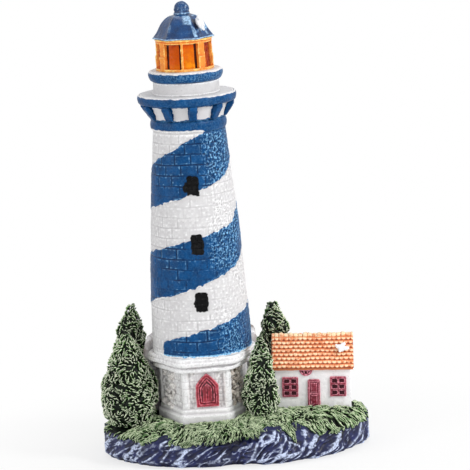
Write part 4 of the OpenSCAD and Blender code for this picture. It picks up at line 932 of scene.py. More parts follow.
frame_inner = shrink(GABLE, 0.74, 0.80, 1.0)
door_frame = cast("door_frame", ring(GABLE, frame_inner, -0.7, 0.75), door_stand, 0.13,
                  ((0.2, 1.1, 81), (0.08, 0.5, 82)))
leaf = shrink(GABLE, 0.76, 0.82, 0.9)
leaf_solids = [prism(leaf, -0.7, 0.12)]
leaf_solids += ring(shrink(GABLE, 0.63, 0.70, 1.5), shrink(GABLE, 0.53, 0.61, 1.9), 0, 0.42)
for side in (-1, 1):
    panel = [(side * x, y) for x, y in ((0.16, 2.4), (1.55, 2.4), (1.6, 6.6), (1.3, 7.4), (0.16, 8.3))]
    leaf_solids.append(prism(panel[::side], 0, 0.36))
door_leaf = cast("door_leaf", leaf_solids, door_stand, 0.13, ((0.16, 0.8, 83),))
red_paint = new_paint("door_red", gloss=0.35, tooth=0.2, tooth_size=0.5, spec=0.5)
red_colour = coat(red_paint, colour(158, 16, 42), colour(54, 2, 14), colour(226, 120, 136),
                  pit=(0.50, 0.36), edge=(0.60, 0.84), brush_size=0.6, patch=0.6)
for piece, node in ((door_frame, "tower_door_frame"), (door_leaf, "tower_door")):
    feel_edges(piece, reach=5, strength=0.75)
    finish_paint(piece, red_paint, red_colour, "door_red", node)

# Tower shaft: hollow cast masonry, painted white with one blue stripe that winds up it. Both coats
# follow shallow blocks, and the edge of the stripe is ragged. Three window recesses are inked black.
SHAFT_Z = 36.2
SHAFT_H = 76.0
SHAFT_TOP = SHAFT_Z + SHAFT_H
SHAFT_FOOT_R, SHAFT_TAPER, SHAFT_BELLY = 16.85, 4.75, 0.9
SPIGOT_R = 7.0


def shaft_reach(z):
    """Radius of the shaft at a height in millimetres."""
    t = (z - SHAFT_Z) / SHAFT_H
    belly = 4 * t * (1 - t) * (0.6 + 0.4 * (1 - t))
    return SHAFT_FOOT_R - SHAFT_TAPER * t + SHAFT_BELLY * belly


# Hand painting lifts the edges of the stripe in places, in millimetres over turns from the front
UPPER_EDGE = [(-0.78, 1.65), (-0.35, 0), (0.16, 0), (0.22, 3.0), (0.30, 3.2), (0.60, 0), (0.76, -1.2),
              (0.85, 0.2), (0.93, 1.5), (1.0, 3.1), (1.04, 3.9), (1.10, 4.5)]
LOWER_EDGE = [(-0.05, 0), (0.053, 1.25), (0.15, 2.0), (0.22, 4.4), (0.30, 4.4), (0.68, 0), (0.95, 0),
              (1.053, 1.25), (1.15, 2.0), (1.22, 4.4)]
STRIPE_START = -1.138
STRIPE_FRONT_Z, STRIPE_PITCH, STRIPE_CLOSE, STRIPE_WAVE, STRIPE_H = 68.3, 32.3, 1.65, 1.25, 16.8
START_R, START_ROUND = 16.8, 2.2


def stripe_depth(a, z):
    """Distance in millimetres inside the blue stripe, below 0 in the white."""
    best = np.full(np.broadcast(a, z).shape, -99.0)
    for lap in range(-3, 4):
        turn = (a + np.pi / 2) / (2 * np.pi) + lap
        rise = STRIPE_PITCH * turn - STRIPE_CLOSE * turn ** 2 - STRIPE_WAVE * np.sin(2 * np.pi * turn)
        half = (STRIPE_H - rise * 0.05) / 2
        upper = STRIPE_FRONT_Z + rise + half + np.interp(turn, *zip(*UPPER_EDGE))
        lower = STRIPE_FRONT_Z + rise - half + np.interp(turn, *zip(*LOWER_EDGE))
        from_start = (turn - STRIPE_START) * 2 * np.pi * START_R
        across = np.minimum(upper - z, z - lower)
        off_corner = np.hypot(np.maximum(START_ROUND - from_start, 0), np.maximum(START_ROUND - across, 0))
        corner = START_ROUND - off_corner
        best = np.maximum(best, np.minimum(np.minimum(across, from_start), corner))
    return best


shaft_a = turns(340)
shaft_z = np.linspace(SHAFT_Z, SHAFT_TOP, 286)[:, None]
shaft_r = shaft_reach(shaft_z) + 0 * shaft_a
wall_at = round_tower(shaft_r * MM, shaft_z * MM, shaft_a)
# A window has its angle, the height of its middle, and a blot of ink beside it: its place and radius
WINDOWS = [(-86, 55.3, (-2.0, -0.6, 0.75)), (-87.5, 74.9, (1.15, -0.3, 1.3)), (-89, 94.5, (-2.3, -0.5, 1.15))]
NO_INK = -9.0
window_ink = np.full(shaft_r.shape, NO_INK)
blots = []
for window_turn, window_z, (blot_x, blot_z, blot_r) in WINDOWS:
    across = gap_to(shaft_a, window_turn) * shaft_reach(window_z)
    up = shaft_z - window_z
    head = np.hypot(np.maximum(np.abs(across) - 1.0, 0), np.maximum(up - 2.3, 0)) - 1.0
    inside = -np.maximum(np.maximum(np.abs(across) - 2.0, -up - 3.2), head)
    window_ink = np.maximum(window_ink, inside)
    blots.append(blot_r - np.hypot(across - blot_x, (up - blot_z) * 0.6))
joints = ashlar(shaft_a * 14.5 * MM, shaft_z * MM, 3.5, 6.2, 0.36, 91)
worn = 0.35 + 0.65 * fade(0.35, 0.65, grain(wall_at, 9 * MM, 92))
# The right side of the shaft is rough, with short ridges in the casting. It is also the side the light falls
# on, and the pale specks on its ridge tops are painted highlights
lit_rough_side = fade(0.46, 0.82, np.cos(gap_to(shaft_a, -20)))
lit_rough_side = lit_rough_side * (0.35 + 0.65 * fade(0.25, 0.5, grain(wall_at, 7 * MM, 93)))
in_blue = fade(-0.1, 0.1, stripe_depth(shaft_a, shaft_z))
squiggles = lit_rough_side * crest(wall_at + 0.5 * MM * grain(wall_at, 0.8 * MM, 99)[..., None], 0.66 * MM, 94)
shaft_r = shaft_r - (0.15 + 0.08 * in_blue) * joints * worn * (1 - 0.5 * lit_rough_side)
shaft_r = shaft_r + 0.30 * (squiggles - 0.5 * lit_rough_side)
shaft_r = shaft_r + 0.14 * (grain(wall_at, 0.8 * MM, 95) - 0.5) + 0.12 * (grain(wall_at, 4 * MM, 96) - 0.5)
shaft_r = shaft_r + 0.16 * fade(-0.25, 0.1, stripe_depth(shaft_a, shaft_z))
shaft_r = shaft_r - 1.0 * fade(-0.15, 0.25, window_ink)
ragged = 1.3 * (grain(wall_at, 1.5 * MM, 97) - 0.5) + 0.8 * (grain(wall_at, 0.6 * MM, 98) - 0.5)
foot_line = shaft_z - SHAFT_Z - 0.45 + 0.5 * ragged


def pad(values, edge):
    """A grid with one more row at each end, for the edges where the skin closes."""
    side = np.full((1, values.shape[1]), edge)
    return np.vstack([side, values, side])


rows_z = np.vstack([shaft_z[:1], shaft_z, shaft_z[-1:]])
shaft = tower_skin("shaft", pad(shaft_r, SPIGOT_R) * MM, rows_z * MM, shaft_a)
feel_edges(shaft, reach=5, strength=0.9)
shaft_relief = stored(shaft, "relief")
shaft_ends = fade(SHAFT_TOP - 0.9, SHAFT_TOP - 0.4, vertices_of(shaft)[:, 2] / MM)
# The edges of the window recesses carry no pale paint, nor does the top edge
plain = np.maximum(shaft_ends, 0.9 * pad(fade(-1.6, -0.8, window_ink), 0).ravel())
blue_edge = np.minimum(stripe_depth(shaft_a, shaft_z) + ragged * 0.7, foot_line)
inked_edge = np.maximum(window_ink, np.max(blots, 0) - 0.15) + 0.15 + 0.6 * ragged
# Painted highlights: the ridge tops on the lit right side get pale specks
lit_ridge_tops = lit_rough_side * fade(0.68, 0.90, squiggles / np.maximum(lit_rough_side, 0.2))
store(shaft, "relief", shaft_relief + (0.45 - shaft_relief) * plain)
store(shaft, "stripe", pad(blue_edge, -1).ravel())
store(shaft, "ink", pad(inked_edge, NO_INK).ravel())
store(shaft, "lit_rough_side", pad(lit_ridge_tops, 0).ravel())


def blue_coat(paint, body, shade, pale):
    """Blue paint over rough casting, with pale specks where the brush missed, and many more on the lit side
    as painted highlights.
    """
    washed = coat(paint, body, shade, pale, pit=(0.49, 0.26), edge=(0.62, 0.88), brush_size=0.45, patch=0.5)
    specks = ramp(paint, speck(paint, 0.55, detail=4), 0.46, 0.60, 0.75)
    here = times(paint, attribute(paint, "lit_rough_side"), 0.04, "ADD")
    return over(paint, times(paint, specks, here), washed, pale)


tower_paint = new_paint("tower_paint", gloss=0.34, tooth=0.55, tooth_size=0.55, spec=0.15)
blue_top = blue_coat(tower_paint, colour(0, 74, 130), colour(0, 32, 70), colour(146, 206, 248))
in_stripe = ramp(tower_paint, attribute(tower_paint, "stripe"), -0.07, 0.07)
# The tower's white is painted darker, as painted shade
two_tone = over(tower_paint, in_stripe, white_coat(tower_paint, brush_size=0.5, light_lift=-12), blue_top)
inked = ramp(tower_paint, attribute(tower_paint, "ink"), 0.0, 0.16)
tower_colour = over(tower_paint, inked, two_tone, colour(4, 4, 6))
finish_paint(shaft, tower_paint, tower_colour, "white_paint", "tower_shaft", "spiral_band")

# Tower windows: three slabs of cast resin, inked black, with a faint grid of bars. They are glued in
# the recesses of the shaft and stand back from its face.
black_paint = new_paint("black_paint", gloss=0.2, tooth=0.9, tooth_size=0.7, spec=0.12)
black_colour = coat(black_paint, colour(5, 5, 7), colour(1, 1, 2), colour(50, 50, 58),
                    pit=(0.5, 0.3), edge=(0.66, 0.95), brush_size=0.5, patch=0.5)
slab_head = prism([(-1.95, 2.5), (1.95, 2.5), (1.2, 3.2), (-1.2, 3.2)], -0.6, 0)
pane_solids = [box(-1.95, 1.95, -3.1, 2.6, -0.6, 0), slab_head, box(-0.16, 0.16, -3, 3, -0.3, 0.22)]
pane_solids += [box(-1.9, 1.9, y - 0.14, y + 0.14, -0.3, 0.2) for y in (-1.2, 0.8)]
for i, (window_turn, window_z, _) in enumerate(WINDOWS):
    window_stand = on_tower(math.radians(window_turn), window_z, shaft_reach(window_z) - 0.85)
    window = cast(f"tower_window_{i}", pane_solids, window_stand, 0.14, ((0.15, 0.9, 101 + i),))
    feel_edges(window, reach=4, strength=0.7)
    finish_paint(window, black_paint, black_colour, "black_paint", "tower_windows")

# Gallery: a blue belt, a white hollow moulding with ten blue brackets, the blue deck with its white
# floor, the white drum of the watch room and the blue lantern deck. Each rests on the one below it.
BRACKETS = -82 + 36 * np.arange(10)
COVE_Z, DECK_Z, FLOOR_Z, DRUM_TOP, LANTERN_Z = 116.1, 121.3, 124.4, 128.6, 132.3


def turned(name, profile, slot, node, stripe, specks=0.06):
    """A turned piece of the tower. stripe gives the paint edge from angle, reach, height and raggedness;
    specks is the share of pale specks painted as highlights on the side towards the light.
    """
    rows = densify(profile, 0.3, 1)
    piece = tower_skin(name, rows[:, :1], rows[:, 1:], turns(260))
    roughen(piece, (0.10, 0.9, 111), (0.14, 3.5, 112))
    feel_edges(piece, reach=4, strength=0.5)
    points = vertices_of(piece)
    ragged = 0.9 * (grain(points, 1.2 * MM, 113) - 0.5) + 0.5 * (grain(points, 0.5 * MM, 114) - 0.5)
    a = np.arctan2(points[:, 1], points[:, 0] - TOWER[0])
    r = np.hypot(points[:, 0] - TOWER[0], points[:, 1]) / MM
    store(piece, "stripe", stripe(a, r, points[:, 2] / MM, ragged))
    store(piece, "ink", np.full(len(points), NO_INK))
    # Painted highlights: pale specks on the side of the ring towards the light
    store(piece, "lit_rough_side", specks * fade(-0.5, 0.9, np.cos(a + 0.9)))
    finish_paint(piece, tower_paint, tower_colour, slot, node)


def bracket_gap(a, r):
    """Distance in millimetres from the nearest bracket."""
    return np.abs([gap_to(a, turn) for turn in BRACKETS]).min(0) * r


def hollow(r, foot_z, rise, count):
    """Points up the hollow line of the moulding."""
    return [(r + 2.0 * t ** 1.8, foot_z + rise * t) for t in np.linspace(0, 1, count)]


belt_profile = [(7.2, SHAFT_TOP), (12.2, SHAFT_TOP), (12.6, 112.5), (12.85, 113.2), (12.9, 114.3),
                (12.75, 115.4), (12.3, 116.0), (7.2, COVE_Z)]
turned("belt", belt_profile, "tower_blue", "belt_ring",
       lambda a, r, z, rag: z - 113.1 + 0.5 * rag + 1.4 * fade(-0.6, 0.4, stripe_depth(a, SHAFT_TOP + 0.2)))


def cove_paint(a, r, z, rag):
    """Blue beside each bracket and along both edges of the moulding."""
    beside = 1.25 + 0.10 * (z - 116) - bracket_gap(a, r)
    return np.maximum(beside, np.maximum(116.55 - z, z - 120.7)) + 0.7 * rag


cove_profile = [(7, COVE_Z), *hollow(12.4, COVE_Z, 5.2, 9), (7, DECK_Z)]
turned("cove", cove_profile, "white_paint", "gallery_cove", cove_paint)
deck_profile = [(7, DECK_Z), (15.9, DECK_Z), (16.4, 121.7), (16.7, 122.7), (16.7, 123.6), (16.5, 124.25),
                (15.9, FLOOR_Z), (15.85, 123.85), (7, 123.8)]
turned("deck", deck_profile, "tower_blue", "gallery_deck", lambda a, r, z, rag: 124.12 - z + 0.35 * rag)
turned("deck_floor", [(7.2, 123.85), (15.75, 123.85), (15.8, 124.35), (7.2, FLOOR_Z)],
       "white_paint", "gallery_floor", lambda a, r, z, rag: rag - 2)
drum_profile = [(7, 124.42), (11.4, 124.42), (11.4, 124.85), (11.15, 125.1), (11.15, DRUM_TOP), (7, DRUM_TOP)]
turned("watch_room", drum_profile, "white_paint", "watch_room_drum", lambda a, r, z, rag: rag - 2)


def lantern_deck_paint(a, r, z, rag):
    """Blue round the rim and below, white on top."""
    return np.where(r > 11.6, 131.75 - z + 0.45 * rag, -1) + np.where(z < 130, 2, 0)


turned("lantern_deck_ring", [(7, DRUM_TOP), (11.2, DRUM_TOP), (11.9, 128.95), (12.4, 129.9), (12.6, 130.8),
                             (12.55, 131.6), (12.2, 132.1), (11.7, LANTERN_Z), (7, LANTERN_Z)],
       "tower_blue", "lantern_deck", lantern_deck_paint, specks=0.28)
bracket_profile = [*hollow(12.5, 116.2, 5.0, 5), (15.9, 121.25), (15.9, 120.1), (14.9, 118.6), (13.2, 116.2)]
for i, turn in enumerate(np.radians(BRACKETS)):
    out = Vector((math.cos(turn), math.sin(turn), 0))
    stand = stand_on(Vector((*TOWER, 0)), out, Vector((0, 0, 1)), Vector((out.y, -out.x, 0)))
    bracket = cast(f"bracket_{i}", [prism(bracket_profile, -1.3, 1.3)], stand, 0.22, ((0.2, 1.1, 115 + i),))
    feel_edges(bracket, reach=3, strength=0.25)
    store(bracket, "stripe", np.ones(len(bracket.data.vertices)))
    store(bracket, "ink", np.full(len(bracket.data.vertices), NO_INK))
    finish_paint(bracket, tower_paint, tower_colour, "tower_blue", "gallery_brackets")

# Lantern: an amber core behind a frame of eight posts between two rings, painted orange, with dark lines of
# painted shade in the narrow slits beside the posts. The core sits in the lantern deck and the frame goes
# round it.
WIDE_POSTS = -51 + 90 * np.arange(4)
THIN_POSTS = -94 + 90 * np.arange(4)
LANTERN_H = 10.5


def from_post(a, posts):
    """Signed degrees from the nearest of some posts."""
    off = np.degrees(np.stack([gap_to(a, post) for post in posts]))
    return np.take_along_axis(off, np.abs(off).argmin(0)[None], 0)[0]


glow_a = turns(300)
glow_z = np.linspace(131.3, 142.8, 60)[:, None]
glow_up = (glow_z - LANTERN_Z) / LANTERN_H + 0 * glow_a
from_wide, from_thin = from_post(glow_a, WIDE_POSTS), from_post(glow_a, THIN_POSTS)
# A dark line of painted shade runs in the slits on each side of a wide post, and on one side of a thin one
slit_shade = np.maximum(3.3 - np.abs(np.abs(from_wide) - 12.6), 2.7 - np.abs(from_thin + 4.4)) * 0.15
glow = tower_skin("lantern_core", (8.65 - 0.35 * glow_up) * MM, glow_z * MM, glow_a)
roughen(glow, (0.12, 1.0, 121))
feel_edges(glow, reach=3, strength=0.7)
wobble = 0.35 * (grain(vertices_of(glow), 2.0 * MM, 122) - 0.5)
store(glow, "ink", (slit_shade + 0 * glow_up).ravel() + 0.6 * wobble)
# Painted shade: the core is darker towards its sides, away from the front, and under the head ring; it is
# lighter at the bottom
side_painted_shade = fade(0.62, 0.42, np.cos(glow_a + np.pi / 2))
glow_tone_and_shade = 0.3 + 0.32 * fade(-2, 2, from_thin) - 0.7 * side_painted_shade
glow_tone_and_shade = glow_tone_and_shade - 0.45 * fade(0.6, 1.0, glow_up) + 0.3 * fade(0.42, 0.12, glow_up)
store(glow, "tone", glow_tone_and_shade.ravel())


def circle(r):
    """An outline of 48 points."""
    return [(r * math.cos(math.radians(a)), r * math.sin(math.radians(a))) for a in np.arange(0, 360, 7.5)]


lantern_solids = ring(circle(9.8), circle(8.5), 0, 0.8)
lantern_solids += ring(circle(9.35), circle(8.0), 9.1, LANTERN_H)
lantern_solids += ring(circle(9.7), circle(8.0), 10.0, LANTERN_H)
for turn, half in [(turn, 1.25) for turn in WIDE_POSTS] + [(turn, 0.38) for turn in THIN_POSTS]:
    c, s = math.cos(math.radians(turn)), math.sin(math.radians(turn))
    for low_z, high_z, near, far in ((0.5, 4.8, 8.0, 9.68), (4.6, 9.5, 7.9, 9.42)):
        corners = ((near, -half), (far, -half), (far, half), (near, half))
        lantern_solids.append(prism([(c * x - s * y, s * x + c * y) for x, y in corners], low_z, high_z))
lantern_stand = Matrix.Translation((*TOWER, LANTERN_Z * MM))
lantern_frame = cast("lantern_posts", lantern_solids, lantern_stand, 0.17, ((0.2, 1.3, 123), (0.1, 0.6, 124)))
feel_edges(lantern_frame, reach=4, strength=0.7)
amber_paint = new_paint("lantern_amber", gloss=0.3, tooth=0.2, tooth_size=0.6, spec=0.12)
amber_tone = attribute(amber_paint, "tone")
amber_low = ramp(amber_paint, amber_tone, -0.1, 0.4)
amber_high = ramp(amber_paint, amber_tone, 0.45, 0.95)
amber_glow = over(amber_paint, amber_low, colour(132, 28, 4), colour(212, 88, 0))
amber_glow = over(amber_paint, amber_high, amber_glow, colour(246, 156, 12))
amber_mottle = ramp(amber_paint, speck(amber_paint, 1.6), 0.42, 0.62, 0.55)
amber_top = over(amber_paint, amber_mottle, amber_glow, colour(206, 88, 6))
# Painted shade in the slits beside the posts
slit_shade_line = ramp(amber_paint, attribute(amber_paint, "ink"), 0, 0.12)
amber_colour = over(amber_paint, slit_shade_line, amber_top, colour(52, 10, 5))
finish_paint(glow, amber_paint, amber_colour, "lantern_amber", "lantern_glazing")
orange_paint = new_paint("lantern_orange", gloss=0.34, tooth=0.25, tooth_size=0.6, spec=0.3)
orange_colour = coat(orange_paint, colour(248, 158, 62), colour(216, 92, 20), colour(255, 212, 122),
                     pit=(0.48, 0.22), edge=(0.54, 0.76), brush_size=0.9, patch=0.5)
finish_paint(lantern_frame, orange_paint, orange_colour, "lantern_amber", "lantern_frame")

# Dome: a six-sided bell in glossy dark blue with a worn rib at each corner and a thin pale eaves edge.
# A pin holds the ball on its neck.
EAVES_Z, DOME_H = 143.3, 8.1
dome_t = np.linspace(0, 1, 46)[:, None]
arc = 0.91 * np.maximum(np.cos(np.pi / 2 * dome_t ** 1.35), 0) ** 0.55 * (1 - 0.05 * dome_t)
bell = 10.5 * (arc + 0.09 * (1 - dome_t) ** 8) * (1 - 0.08 * np.sin(np.pi * dome_t))
eaves_rows = np.array([(4, 142.82), (10.1, 142.82), (10.65, 142.92), (10.75, 143.1)])
bell_rows = np.hstack([np.maximum(bell - 0.1, 2.8), EAVES_Z + DOME_H * dome_t])
dome_rows_r, dome_rows_z = np.vstack([eaves_rows, bell_rows, [(2.2, 151.5), (0.5, 151.6)]]).T[..., None]
dome_a = turns(300)
dome_turned = dome_a + math.radians(7)
# The bell has six sides up to its neck, which is nearly round
dome_reach = np.vstack([hex_reach(dome_turned, row_r * MM, 4 if row_z > 150.4 else 26)
                        for row_r, row_z in zip(dome_rows_r, dome_rows_z)])
dome_rib = 1 - fade(0.3, 0.95, from_corner(dome_turned) * dome_reach / MM)
dome_rib = dome_rib * fade(EAVES_Z, 143.9, dome_rows_z) * fade(150.8, 149.8, dome_rows_z)
dome_reach = dome_reach + 0.16 * MM * dome_rib
dome = tower_skin("bell_dome", dome_reach, dome_rows_z * MM, dome_a)
roughen(dome, (0.2, 2.2, 131), (0.07, 0.7, 132))
feel_edges(dome, reach=4, strength=0.7)
# Pale paint on the front rib and the eaves, in streaks, and a painted highlight where the light shines on the
# bell; painted shadow of the gull beside it
dome_at = vertices_of(dome) / MM
dome_z = dome_at[:, 2]
all_round = 0 * dome_reach
worn_rib = (dome_rib * fade(0.5, 0.2, np.abs(gap_to(dome_a, -63)))).ravel()
eaves_line = fade(143.35, 143.2, dome_z) * fade(142.85, 142.95, dome_z)
# Painted highlight: the bell is paler where the light shines on it
painted_highlight = fade(0.34, 0.08, np.abs(gap_to(dome_a, -76)) + all_round).ravel()
painted_highlight *= fade(147.2, 148.2, dome_z) * fade(150.7, 150.0, dome_z)
# Painted shadow: the bell is darker beside and behind the gull
gull_painted_shadow = fade(2.6, 1.2, np.linalg.norm((dome_at - [-6.0, -5.4, 147.9]) * [1.4, 1, 0.8], axis=1))
streaks = fade(0.5, 0.8, grain(dome_at * [1, 1, 0.3], 1.3, 135)) * fade(151, 149.6, dome_z)
streaks *= fade(143.4, 144.2, dome_z)
streaks *= 0.35 + fade(-0.1, 0.5, np.sin(dome_a + math.radians(68)) + all_round).ravel()
pale = 0.30 * worn_rib + 0.2 * eaves_line + 0.24 * streaks + 0.30 * painted_highlight - 0.6 * gull_painted_shadow
store(dome, "relief", stored(dome, "relief") + pale)
dome_paint = new_paint("dome_blue", gloss=0.25, tooth=0.2, tooth_size=0.9, spec=0.45)
dome_colour = coat(dome_paint, colour(6, 66, 120), colour(2, 26, 62), colour(160, 198, 232),
                   pit=(0.48, 0.20), edge=(0.58, 0.88), brush_size=0.8, patch=0.6)
finish_paint(dome, dome_paint, dome_colour, "dome_blue", "dome")


def ball(place, size):
    """A rounded lump at a place, with its three half sizes, in millimetres."""
    points = ICO_POINTS * np.array(size) + np.array(place)
    return [tuple(p) for p in points], [tuple(f) for f in ICO_FACES.tolist()]


finial = cast("finial", [ball((0, 0, 2.35), (2.6, 2.6, 2.6)), ball((0, 0, 1.0), (2.75, 2.75, 1.1))],
              Matrix.Translation((*TOWER, 150.02 * MM)), 0.16, ((0.3, 1.5, 133), (0.2, 0.7, 134)))
feel_edges(finial, reach=4, strength=0.8)
finish_paint(finial, dome_paint, dome_colour, "dome_blue", "finial_ball")

# Gulls: two small white birds on pegs. One sits on the dome and the other spreads its wings on the
# roof of the cottage.
gull_paint = new_paint("gull_white", gloss=0.35, tooth=0.15, tooth_size=0.5, spec=0.5)
gull_colour = coat(gull_paint, colour(240, 240, 242), colour(196, 200, 210), colour(253, 253, 253),
                   pit=(0.46, 0.15), edge=(0.55, 0.8), brush_size=0.6, patch=0.3)
sitting = [ball((0, 0, 0), (1.1, 1.75, 1.1)), ball((0, -1.3, 0.95), (0.7, 0.75, 0.7)),
           ball((0, 1.75, 0.1), (0.55, 1.1, 0.4)), ball((0, -1.95, 0.78), (0.2, 0.45, 0.18)),
           ball((0, 0.1, -0.7), (0.5, 0.5, 0.9))]
sitting += [ball((side * 0.75, 0.35, 0.15), (0.35, 1.35, 0.65)) for side in (-1, 1)]
gull_tail = Vector((0.42, -0.15, -0.90)).normalized()
gull_back = Vector((0.35, -0.70, 0.45))
gull_back = (gull_back - gull_back.dot(gull_tail) * gull_tail).normalized()
gull_place = Vector((-4.4, -5.2, 148.1)) * MM
dome_gull_stand = stand_on(gull_place, gull_tail.cross(gull_back), gull_tail, gull_back)
dome_gull_stand = dome_gull_stand @ Matrix.Scale(1.12, 4)
dome_gull = cast("gull_on_dome", sitting, dome_gull_stand, 0.13, ((0.2, 0.8, 141),))
feel_edges(dome_gull, reach=4, strength=0.6)
finish_paint(dome_gull, gull_paint, gull_colour, "white_paint", "dome_gull")

# Cottage: a white cast body with two gables, a little crooked. Window frames, panes, vent and door
# are inlaid in the front wall and painted dark red, with pale edges where a dry brush went over them.
WALL_HIGH = 14.6
HOUSE_DEEP = 17.0
HOUSE_LONG = 26.2
EAVES = 1.1
PITCH = math.radians(43)
RIDGE_Z = WALL_HIGH + HOUSE_DEEP / 2 * math.tan(PITCH)
ROOF_RUN = HOUSE_DEEP / 2 + EAVES
cottage_stand = (Matrix.Translation((*COTTAGE, 13.5 * MM)) @ Matrix.Rotation(math.radians(-2), 4, "Z")
                 @ Matrix.Rotation(math.radians(2), 4, "Y"))
ALONG, ACROSS, UP = Vector((1, 0, 0)), Vector((0, 1, 0)), Vector((0, 0, 1))
gable_stand = cottage_stand @ stand_on(Vector((0, 0, 0)), ACROSS, UP, ALONG)
front_stand = cottage_stand @ stand_on(Vector((0, -HOUSE_DEEP / 2 * MM, 0)), ALONG, UP, -ACROSS)
HALF_DEEP, HALF_LONG = HOUSE_DEEP / 2, HOUSE_LONG / 2
house_end = [(-HALF_DEEP, -2), (HALF_DEEP, -2), (HALF_DEEP, WALL_HIGH), (0, RIDGE_Z), (-HALF_DEEP, WALL_HIGH)]
house = cast("cottage_body", [prism(house_end, -HALF_LONG, HALF_LONG)], gable_stand, 0.24,
             ((0.35, 4.5, 151), (0.12, 0.9, 152)))
feel_edges(house, reach=5, strength=0.8)
house_paint = new_paint("cottage_white", gloss=0.5, tooth=0.35, tooth_size=0.5, spec=0.4)
# The cottage's white is painted paler, as painted light
house_white = white_coat(house_paint, light_lift=20)
wide_stain = ramp(house_paint, speck(house_paint, 3.5), 0.50, 0.66)
fine_stain = ramp(house_paint, speck(house_paint, 0.7), 0.42, 0.56)
stain = times(house_paint, times(house_paint, wide_stain, fine_stain), attribute(house_paint, "foot"))
house_colour = over(house_paint, stain, house_white, colour(168, 160, 140))
house_foot = (vertices_of(house)[:, 2] - 12.5 * MM) / MM
store(house, "foot", 0.03 + 0.4 * fade(3.5, 1.0, house_foot))
finish_paint(house, house_paint, house_colour, "white_paint", "cottage_walls")

trim_paint = new_paint("cottage_red", gloss=0.35, tooth=0.25, tooth_size=0.5, spec=0.5)
trim_colour = coat(trim_paint, colour(146, 24, 54), colour(66, 4, 24), colour(236, 150, 168),
                   pit=(0.48, 0.28), edge=(0.53, 0.74), brush_size=0.5, patch=0.6)
pane_paint = new_paint("pane_dark", gloss=0.3, tooth=0.2, tooth_size=0.5, spec=0.2)
pane_colour = coat(pane_paint, colour(64, 4, 22), colour(24, 0, 8), colour(120, 36, 58),
                   pit=(0.5, 0.3), edge=(0.6, 0.9), brush_size=0.5, patch=0.4)
TRIM = (trim_paint, trim_colour, "door_red")
PANE = (pane_paint, pane_colour, "pane_dark")


def inlay(name, solids, finish, seed, *nodes):
    """A piece let into the front wall of the cottage, in one of the two finishes."""
    piece = cast(name, solids, front_stand, 0.13, ((0.14, 0.8, seed), (0.06, 0.4, seed + 1)))
    feel_edges(piece, reach=4, strength=0.8)
    finish_paint(piece, *finish, *nodes)


WINDOW_W, WINDOW_H, SILL = 5.6, 7.0, 4.0
BAR = 0.72
pane_w, pane_h = (WINDOW_W - 3 * BAR) / 2, (WINDOW_H - 4 * BAR) / 3
frame_solids, glass_solids = [], []
for left in (-10.6, 5.8):
    for i in range(3):
        bar_x = left + i * (pane_w + BAR)
        frame_solids.append(box(bar_x, bar_x + BAR, SILL + 0.15, SILL + WINDOW_H - 0.15, -0.6, 0.56))
    for j in range(4):
        bar_y = SILL + j * (pane_h + BAR)
        frame_solids.append(box(left + 0.15, left + WINDOW_W - 0.15, bar_y, bar_y + BAR, -0.6, 0.54))
    glass_solids.append(box(left + 0.4, left + WINDOW_W - 0.4, SILL + 0.4, SILL + WINDOW_H - 0.4, -0.6, 0.27))
inlay("window_frames", frame_solids, TRIM, 161, "cottage_window_frames")
inlay("window_panes", glass_solids, PANE, 163, "cottage_window_panes")
DOOR_X, DOOR_SILL = 0.3, 0.5
door_arch = [(-2.15, 0), (2.15, 0), (2.15, 9.0), (1.75, 9.65), (-1.75, 9.65), (-2.15, 9.0)]
door_edge = [(DOOR_X + x, DOOR_SILL + y) for x, y in door_arch]
door_hole = [(DOOR_X + x * 0.70, DOOR_SILL + y * 0.93) for x, y in door_arch]
inlay("cottage_door_frame", ring(door_edge, door_hole, -0.6, 0.55)[1:], TRIM, 165, "cottage_door_frame")
leaf_solids = [box(-1.2, 1.8, 0.6, 9.4, -0.6, 0.22)]
leaf_solids += [box(-0.75, 1.35, panel_z, panel_z + 3.3, 0, 0.46) for panel_z in (1.2, 5.5)]
leaf_solids.append(box(-1.2, 1.8, 4.75, 5.2, 0, 0.38))
inlay("cottage_door_leaf", leaf_solids, TRIM, 167, "cottage_door")
VENT_X, VENT_Z = -2.4, 13.6


def half_round(r):
    """The lower half of a circle round the middle of the vent, in 16 steps."""
    half_turn = [math.pi + math.pi * i / 16 for i in range(17)]
    return [(VENT_X + r * math.cos(a), VENT_Z + r * math.sin(a)) for a in half_turn]


vent_solids = ring(half_round(2.3), half_round(1.6), -0.6, 0.5)[:-1]
vent_solids.append(box(VENT_X - 2.3, VENT_X + 2.3, VENT_Z - 0.5, VENT_Z, 0, 0.5))
vent_solids += [box(x - 0.16, x + 0.16, 12.0, 13.3, 0.1, 0.42) for x in (VENT_X - 0.6, VENT_X + 0.6)]
inlay("cottage_vent_piece", vent_solids, TRIM, 169, "cottage_vent")
inlay("vent_opening", [prism(half_round(1.8), -0.6, 0.25)], PANE, 166)

# Roof: two sheets of clay tiles cast on roof boards, eight courses each, shifted by half a tile from
# course to course. Orange in the joints and brushed cream on the rounded lower ends of the tiles.
COURSES, TILES = 8, 17
TILES_LONG = HOUSE_LONG + 1.8
TILE_WIDE = TILES_LONG / TILES
SLOPE = ROOF_RUN / math.cos(PITCH)
BOARD, BOARDS_HALF_LONG = 0.9, HALF_LONG + 0.7
board_low = WALL_HIGH - EAVES * math.tan(PITCH)
board_up = BOARD / math.cos(PITCH)
boards = [(-ROOF_RUN, board_low), (0, RIDGE_Z), (ROOF_RUN, board_low),
          (ROOF_RUN, board_low + board_up), (0, RIDGE_Z + board_up), (-ROOF_RUN, board_low + board_up)]
board_solids = [prism([boards[i] for i in half], -BOARDS_HALF_LONG, BOARDS_HALF_LONG)
                for half in ((0, 1, 4, 5), (1, 2, 3, 4))]
roof_boards = cast("roof_boards", board_solids, gable_stand, 0.2, ((0.2, 1.4, 171),))
feel_edges(roof_boards, reach=4, strength=0.7)
